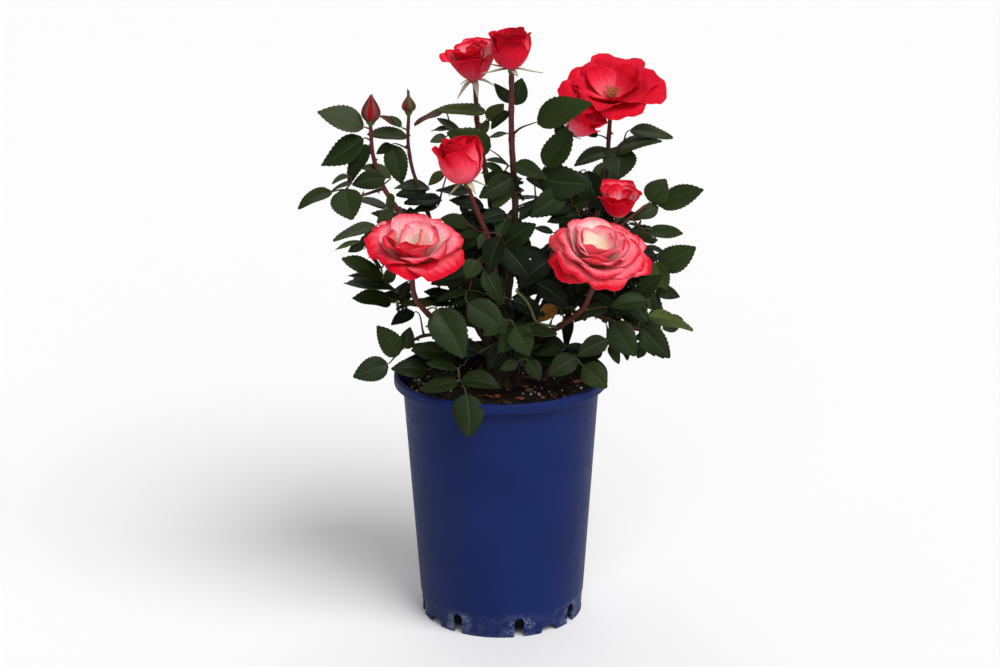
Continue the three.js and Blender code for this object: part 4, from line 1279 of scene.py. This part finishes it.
def turned_out(out, lateral, height, turn):
    """Points so far out, aside and up, at a turn round the axis."""
    cos, sin = math.cos(turn), math.sin(turn)
    return np.stack([out * cos - lateral * sin, out * sin + lateral * cos, height], axis=-1)


def petal_points(age, turn, facts, random):
    """The upper face of one petal, in the flower's own frame; age runs from 0 inside to 1 outside."""
    t, s = along_and_across(PETAL["rows"] + 1, PETAL["columns"] + 1)
    length, width = (a + (b - a) * age ** 0.8 for a, b in zip(*facts["sizes"]))
    length, width = length * random.uniform(0.9, 1.06), width * random.uniform(0.88, 1.1)
    wild = 5 * facts["wild"]
    angles = [a + (b - a) * age ** 0.9 + random.uniform(-wild, wild)
              for a, b in zip(facts["close"], facts["spread"])]
    reach = t * (1 - (0.16 + 0.10 * np.sin(turn * 3)) * np.abs(s) ** 2.6 * t)
    fine = np.linspace(0, 1, PETAL["fine"] + 1)
    bend, out, rise = bent(PLACES, angles, PETAL["fine"])
    out, rise = out / PETAL["fine"] * length + 1.2 + 1.6 * age, rise / PETAL["fine"] * length
    out_at, rise_at, bend_at = (np.interp(reach, fine, values) for values in (out, rise, bend))
    opened = np.sin(np.minimum(t / 0.72, 1) * math.pi / 2) ** 1.1
    half = width / 2 * (PETAL["claw"] + (1 - PETAL["claw"]) * opened)
    half = half * (1 - 0.22 * smooth_step(0.78, 1, t))
    curl = facts["curl"][0] + (facts["curl"][1] - facts["curl"][0]) * age
    curl = np.maximum(curl * (0.55 + 0.45 * t), half * 0.42)
    swing = s * half / curl
    lateral, inward = curl * np.sin(swing), curl * (1 - np.cos(swing))
    sides = 0.75 * smooth_step(0.7, 1, np.abs(s)) * smooth_step(0.3, 0.8, t)
    rim = np.maximum(smooth_step(0.72, 1, t), sides)
    crinkle = np.sin(s * random.uniform(3, 6) + random.uniform(0, 6))
    crinkle = crinkle + 0.25 * np.sin(s * 11 + t * 5 + random.uniform(0, 6))
    buckle = 0.5 * np.sin(t * 4 + random.uniform(0, 6)) * np.sin(s * 2.5 + random.uniform(0, 6)) * (0.3 + age)
    inward = (inward - facts["lip"] * (0.25 + 0.75 * age) * rim ** 2
              + facts["ruffle"] * (crinkle * rim + buckle * t))
    out_at, rise_at = out_at - inward * np.cos(bend_at), rise_at + inward * np.sin(bend_at)
    return turned_out(out_at, lateral, rise_at, turn), t, s


def ramp(share, colours):
    """A colour for each share from 0 to 1, through four colours."""
    return np.stack([np.interp(share, RAMP_STOPS, channel) for channel in zip(*colours)], axis=-1)


def shell(upper, thickness):
    """A thin closed shell under a grid of points: its points, and the faces of its two sides and its rim."""
    normal = unit(np.cross(np.gradient(upper, axis=0), np.gradient(upper, axis=1)))
    return np.concatenate([upper, upper - normal * thickness]).reshape(-1, 3), *sheet_faces(*upper.shape[:2])


def cell_uv(faces, map_points, cell, cells):
    """Faces laid out in one cell of a square map."""
    row, column = divmod(cell, cells)
    return (map_points[faces] * 0.9 + 0.05 + np.array([column, row])) / cells


def petal_tones(t, s, age, turn, facts, random):
    """The colours of a petal's upper and lower points, with a painted glow low in the petals where they lie in
    shade.
    """
    pale_turn, pale_by, red_by = facts["pale_side"]
    toward = math.cos(turn - math.radians(pale_turn))
    shift = (random.uniform(-0.10, 0.10) - facts["pale"] * (1 - age) + facts["warm"] * age
             - pale_by * max(toward, 0) ** 2 + red_by * max(-toward, 0) ** 2)
    share = np.maximum(0.92 * t ** 1.2, 0.7 * np.abs(s) ** 4 * t ** 0.5) + shift * (1 - 0.5 * t ** 3)
    for strength, stripes in ((0.045, 19), (0.035, 37)):
        share = share + strength * np.sin(s * stripes + random.uniform(0, 6))
    edge = smooth_step(0.86, 1.0, np.maximum(t, np.abs(s) ** 1.5 * t ** 0.25)) * facts["edge"]
    share = np.clip(share + edge, 0, 1)
    # Painted glow: the lower part of all but the innermost petals is blended towards the glow colour, standing
    # in for light through the petals
    deep = (1 - smooth_step(0.15, 0.6, t)) * smooth_step(0.05, 0.35, age) * facts["painted_glow"]
    deep = deep[..., None]
    tones = np.stack([ramp(share, facts["inside"]), ramp(np.clip(share + 0.05, 0, 1), facts["outside"])])
    return (tones * (1 - deep) + np.array(PAINTED_GLOW) * deep).reshape(-1, 3)


def add_petals(piece, facts, seat, axes, random):
    cells = math.ceil(math.sqrt(2 * facts["petals"]))
    for i in range(facts["petals"]):
        age = i / (facts["petals"] - 1)
        turn = i * GOLDEN_TURN + random.uniform(-0.25, 0.25)
        upper, t, s = petal_points(age, turn, facts, random)
        local, *sides = shell(upper, PETAL["thickness"])
        local = local + np.array(facts["heart"], float) * (1 - age) ** 0.7
        map_points = np.tile(np.column_stack([(s.ravel() + 1) / 2, t.ravel()]), (2, 1))
        uv = [cell_uv(faces, map_points, 2 * i + lower, cells) for faces, lower in zip(sides, (0, 1, 0))]
        piece.add(seat + axes[2] * facts["lift"] + local @ axes, np.concatenate(sides), 0, np.concatenate(uv),
                  petal_tones(t, s, age, turn, facts, random))


def hip(piece, seat, axes, high, wide):
    """The swollen green base of a flower."""
    profile = [(0, -1.2), (1.3, -1.2), (1.7, 0), (wide * 0.85, high * 0.3), (wide, high * 0.6),
               (wide * 0.85, high), (wide * 1.1, high + 1.4), (0, high + 1.2)]
    points, faces = lathe(profile, 20)
    piece.add(seat + points @ axes, faces)


SEPAL = {"rows": 11, "columns": 6, "thickness": 0.5, "cup": 0.25, "count": 5}


def sepal(piece, seat, axes, turn, radial, rise, width, random, slots, hug=0.0):
    """A lance-shaped sepal whose middle runs out and up as radial and rise say. hug: how far it wraps."""
    t, s = along_and_across(SEPAL["rows"], SEPAL["columns"])
    half = width / 2 * np.maximum((1 - t) ** 0.8 * (0.5 + 1.5 * t * (1 - t)), 0.05)
    lateral = s * half
    cup = SEPAL["cup"] * half * s ** 2 + hug * lateral ** 2 / (2 * np.maximum(radial[:, None], 1.0))
    slope = np.arctan2(np.gradient(radial), np.gradient(rise))[:, None]
    lateral = lateral + (1 - hug) * 0.9 * np.sin(t * 3 + random.uniform(0, 6)) * t
    out, height = radial[:, None] - cup * np.cos(slope), rise[:, None] + cup * np.sin(slope)
    local, inner, outer, rim = shell(turned_out(out, lateral, height, turn), SEPAL["thickness"])
    faces = np.concatenate([inner, outer, rim])
    piece.add(seat + local @ axes, faces, np.where(np.arange(len(faces)) < len(inner), *slots))


def open_sepal(piece, seat, axes, turn, lift, length, width, angles, random):
    """A sepal that bends back from under an open flower, as its angles from the axis say."""
    step = length / (SEPAL["rows"] - 1)
    _, out, rise = bent((0, 0.4, 1), angles, SEPAL["rows"] - 1)
    out, rise = out * step + PETAL["hip_radius"] * 0.8, rise * step + lift * 0.95
    sepal(piece, seat, axes, turn, out, rise, width, random, (1, 0))


STAMENS = {"count": 34, "radius": 0.28, "sides": 5, "lean": (0.15, 0.75), "length": (6.5, 10.5)}


def stamens(piece, seat, axes, lift, random):
    """A loose ring of fine threads with dark yellow heads."""
    bead, bead_faces = ball()
    for i in range(STAMENS["count"]):
        turn, lean = i * GOLDEN_TURN, random.uniform(*STAMENS["lean"])
        out = math.cos(turn) * axes[0] + math.sin(turn) * axes[1]
        foot = seat + axes[2] * (lift + 1) + out * 1.4
        head = foot + (out * math.sin(lean) + axes[2] * math.cos(lean)) * random.uniform(*STAMENS["length"])
        line = bezier(foot, foot + axes[2] * 3, head - axes[2] * 2, head, 2.0)
        piece.add(*tube(line, STAMENS["radius"], STAMENS["sides"]))
        piece.add(head + bead * (1.0, 1.0, 0.75) * random.uniform(0.8, 1.15), bead_faces, 1)


# Length, width and angles of the sepals under a flower
SEPAL_LOOKS = {"cup": (19, 8.5, (84, 112, 128)), "flat": (23, 8, (92, 100, 84)),
               "under": (12, 6.5, (94, 98, 102)), "close": (11, 6.5, (62, 48, 44))}
# sepal: a sepal's width, and how far up the bud it reaches, as a share of the bud's length. skins: material
# slots of the sepals, in turn. turn: how far round they start, in degrees. hip: its height and radius.
BUDS = {
    "bud_left": dict(seat=(-116, -10, 473), facing=(0.04, 0, 1), length=23.0, width=16.5, sepal=(9.5, 1.0),
             skins=(3, 3), turn=18, hip=(8.5, 4.7)),
    "bud_centre_left": dict(seat=(-83, 25, 475), facing=(0, 0, 1), length=14.0, width=12.0,
             sepal=(8.0, 1.42), skins=(2, 3), turn=0, hip=(7.5, 3.8)),
}
# A bud's section: share of its length, share of its half width
BUD_OUTLINE = ((0.0, 0.45), (0.1, 0.78), (0.25, 1.0), (0.42, 0.96), (0.6, 0.74), (0.78, 0.44), (0.92, 0.18),
               (1.0, 0.05))
BUD = {"rings": 26, "sides": 30, "sepal_gap": 0.5, "base": PETAL["hip"] * 0.6}


def bud_radius(share, facts):
    return np.interp(share, *zip(*BUD_OUTLINE)) * facts["width"] / 2


def bud_cone(piece, seat, axes, facts):
    """The furled petals of a bud: an egg with a spiral seam."""
    z = np.linspace(0, 1, BUD["rings"])
    spiral = (turns(BUD["sides"]) - 7 * z[:, None]) % (2 * math.pi / 3)
    seam = 1 - 0.10 * np.exp(-((spiral - 0.35) / 0.16) ** 2)
    line = UP * (BUD["base"] + z * facts["length"])[:, None]
    points, faces = tube(line, bud_radius(z, facts)[:, None] * seam * 0.95, BUD["sides"])
    rise = np.clip(points[:, 2] / (facts["length"] + BUD["base"]), 0, 1)
    tones = ramp(rise, (RED, CRIMSON, CRIMSON, CRIMSON))
    piece.add(seat + points @ axes, faces, 0, strip_uv(faces, BUD["sides"], BUD["rings"], 0, 1), tones)


def bud_sepal(piece, seat, axes, turn, facts, random, skin):
    """A sepal pressed to a bud; reach above 1 carries its tip past the end of the bud."""
    width, reach = facts["sepal"]
    share = np.linspace(0, reach * random.uniform(0.94, 1.08), SEPAL["rows"])
    radial = bud_radius(np.minimum(share, 1), facts) + BUD["sepal_gap"]
    rise = BUD["base"] + share * facts["length"]
    sepal(piece, seat, axes, turn, radial, rise, width, random, (skin, skin), hug=1.0)


def make_flowers():
    skin = petal_skin()
    hips, sepals, threads = Piece("flower_hips"), Piece("sepals"), Piece("stamens")
    sepal_turns = [i * 2 * math.pi / SEPAL["count"] for i in range(SEPAL["count"])]
    for name, facts in FLOWERS.items():
        facts = FLOWER | facts
        random, bloom, (seat, axes) = random_for(name), Piece(name + "_petals"), flower_frame(facts)
        add_petals(bloom, facts, seat, axes, random)
        bloom.make([skin], "petal", [name], sharp=65)
        hip(hips, seat, axes, facts["lift"], PETAL["hip_radius"])
        length, width, angles = SEPAL_LOOKS[facts["sepals"]]
        for turn in sepal_turns:
            bends = [a + random.uniform(-12, 12) for a in angles]
            open_sepal(sepals, seat, axes, turn + random.uniform(-0.2, 0.2), facts["lift"],
                       length * random.uniform(0.8, 1.3), width, bends, random)
        if facts["stamens"]:
            stamens(threads, seat, axes, facts["lift"], random)
    for name, facts in BUDS.items():
        random, bud, (seat, axes) = random_for(name), Piece(name + "_petals"), flower_frame(facts)
        bud_cone(bud, seat, axes, facts)
        bud.make([skin], "bud", [name])
        hip(hips, seat, axes, *facts["hip"])
        start = math.radians(facts["turn"])
        for i, turn in enumerate(sepal_turns):
            bud_sepal(sepals, seat, axes, turn + start, facts, random, facts["skins"][i % 2])
    hips.make(plain_skins("hip_green"), "bud")
    sepals.make(plain_skins("sepal_outside", "sepal_inside", "sepal_bud_green", "sepal_bud_red"), "bud")
    threads.make(plain_skins("filament", "anther"), "bud")


# ---------------------------------------------------------------- floor and lights

FLOOR_REACH = 40000.0
# Each soft light's strength, azimuth (0 is the front, 90 the right), height and softness, in degrees
SUNS = {"key": (2.4, 42, 50, 40), "front": (1.05, 8, 30, 60), "back": (0.7, 178, 50, 60)}
SKYLIGHT = 0.23


def add_stage():
    reach = FLOOR_REACH * MM
    corners = [(-reach, -reach, 0), (reach, -reach, 0), (reach, reach, 0), (-reach, reach, 0)]
    mesh = bpy.data.meshes.new("floor")
    mesh.from_pydata(corners, [], [(0, 1, 2, 3)])
    n = Nodes("pale_floor")
    n.set(Base_Color=(0.86, 0.86, 0.86), Roughness=0.9, Specular_IOR_Level=0.1)
    mesh.materials.append(n.material)
    in_scene("floor", mesh)


def add_lights():
    for name, (strength, azimuth, elevation, softness) in SUNS.items():
        light = bpy.data.lights.new(name, "SUN")
        light.energy, light.angle = strength, math.radians(softness)
        turn, rise = math.radians(azimuth), math.radians(elevation)
        toward = Vector((math.sin(turn) * math.cos(rise), -math.cos(turn) * math.cos(rise), math.sin(rise)))
        lamp = in_scene(name, light)
        lamp.rotation_mode = "QUATERNION"
        lamp.rotation_quaternion = toward.to_track_quat("Z", "Y")
    world = bpy.data.worlds.new("studio")
    world.use_nodes = True
    background = world.node_tree.nodes["Background"]
    background.inputs["Color"].default_value = (1, 1, 1, 1)
    background.inputs["Strength"].default_value = SKYLIGHT
    bpy.context.scene.world = world
    bpy.context.scene.view_settings.view_transform = "Standard"


add_camera()
make_pot()
make_mix()
make_grains()
make_stem()
make_foliage(make_canes())
make_flowers()
add_stage()
add_lights()
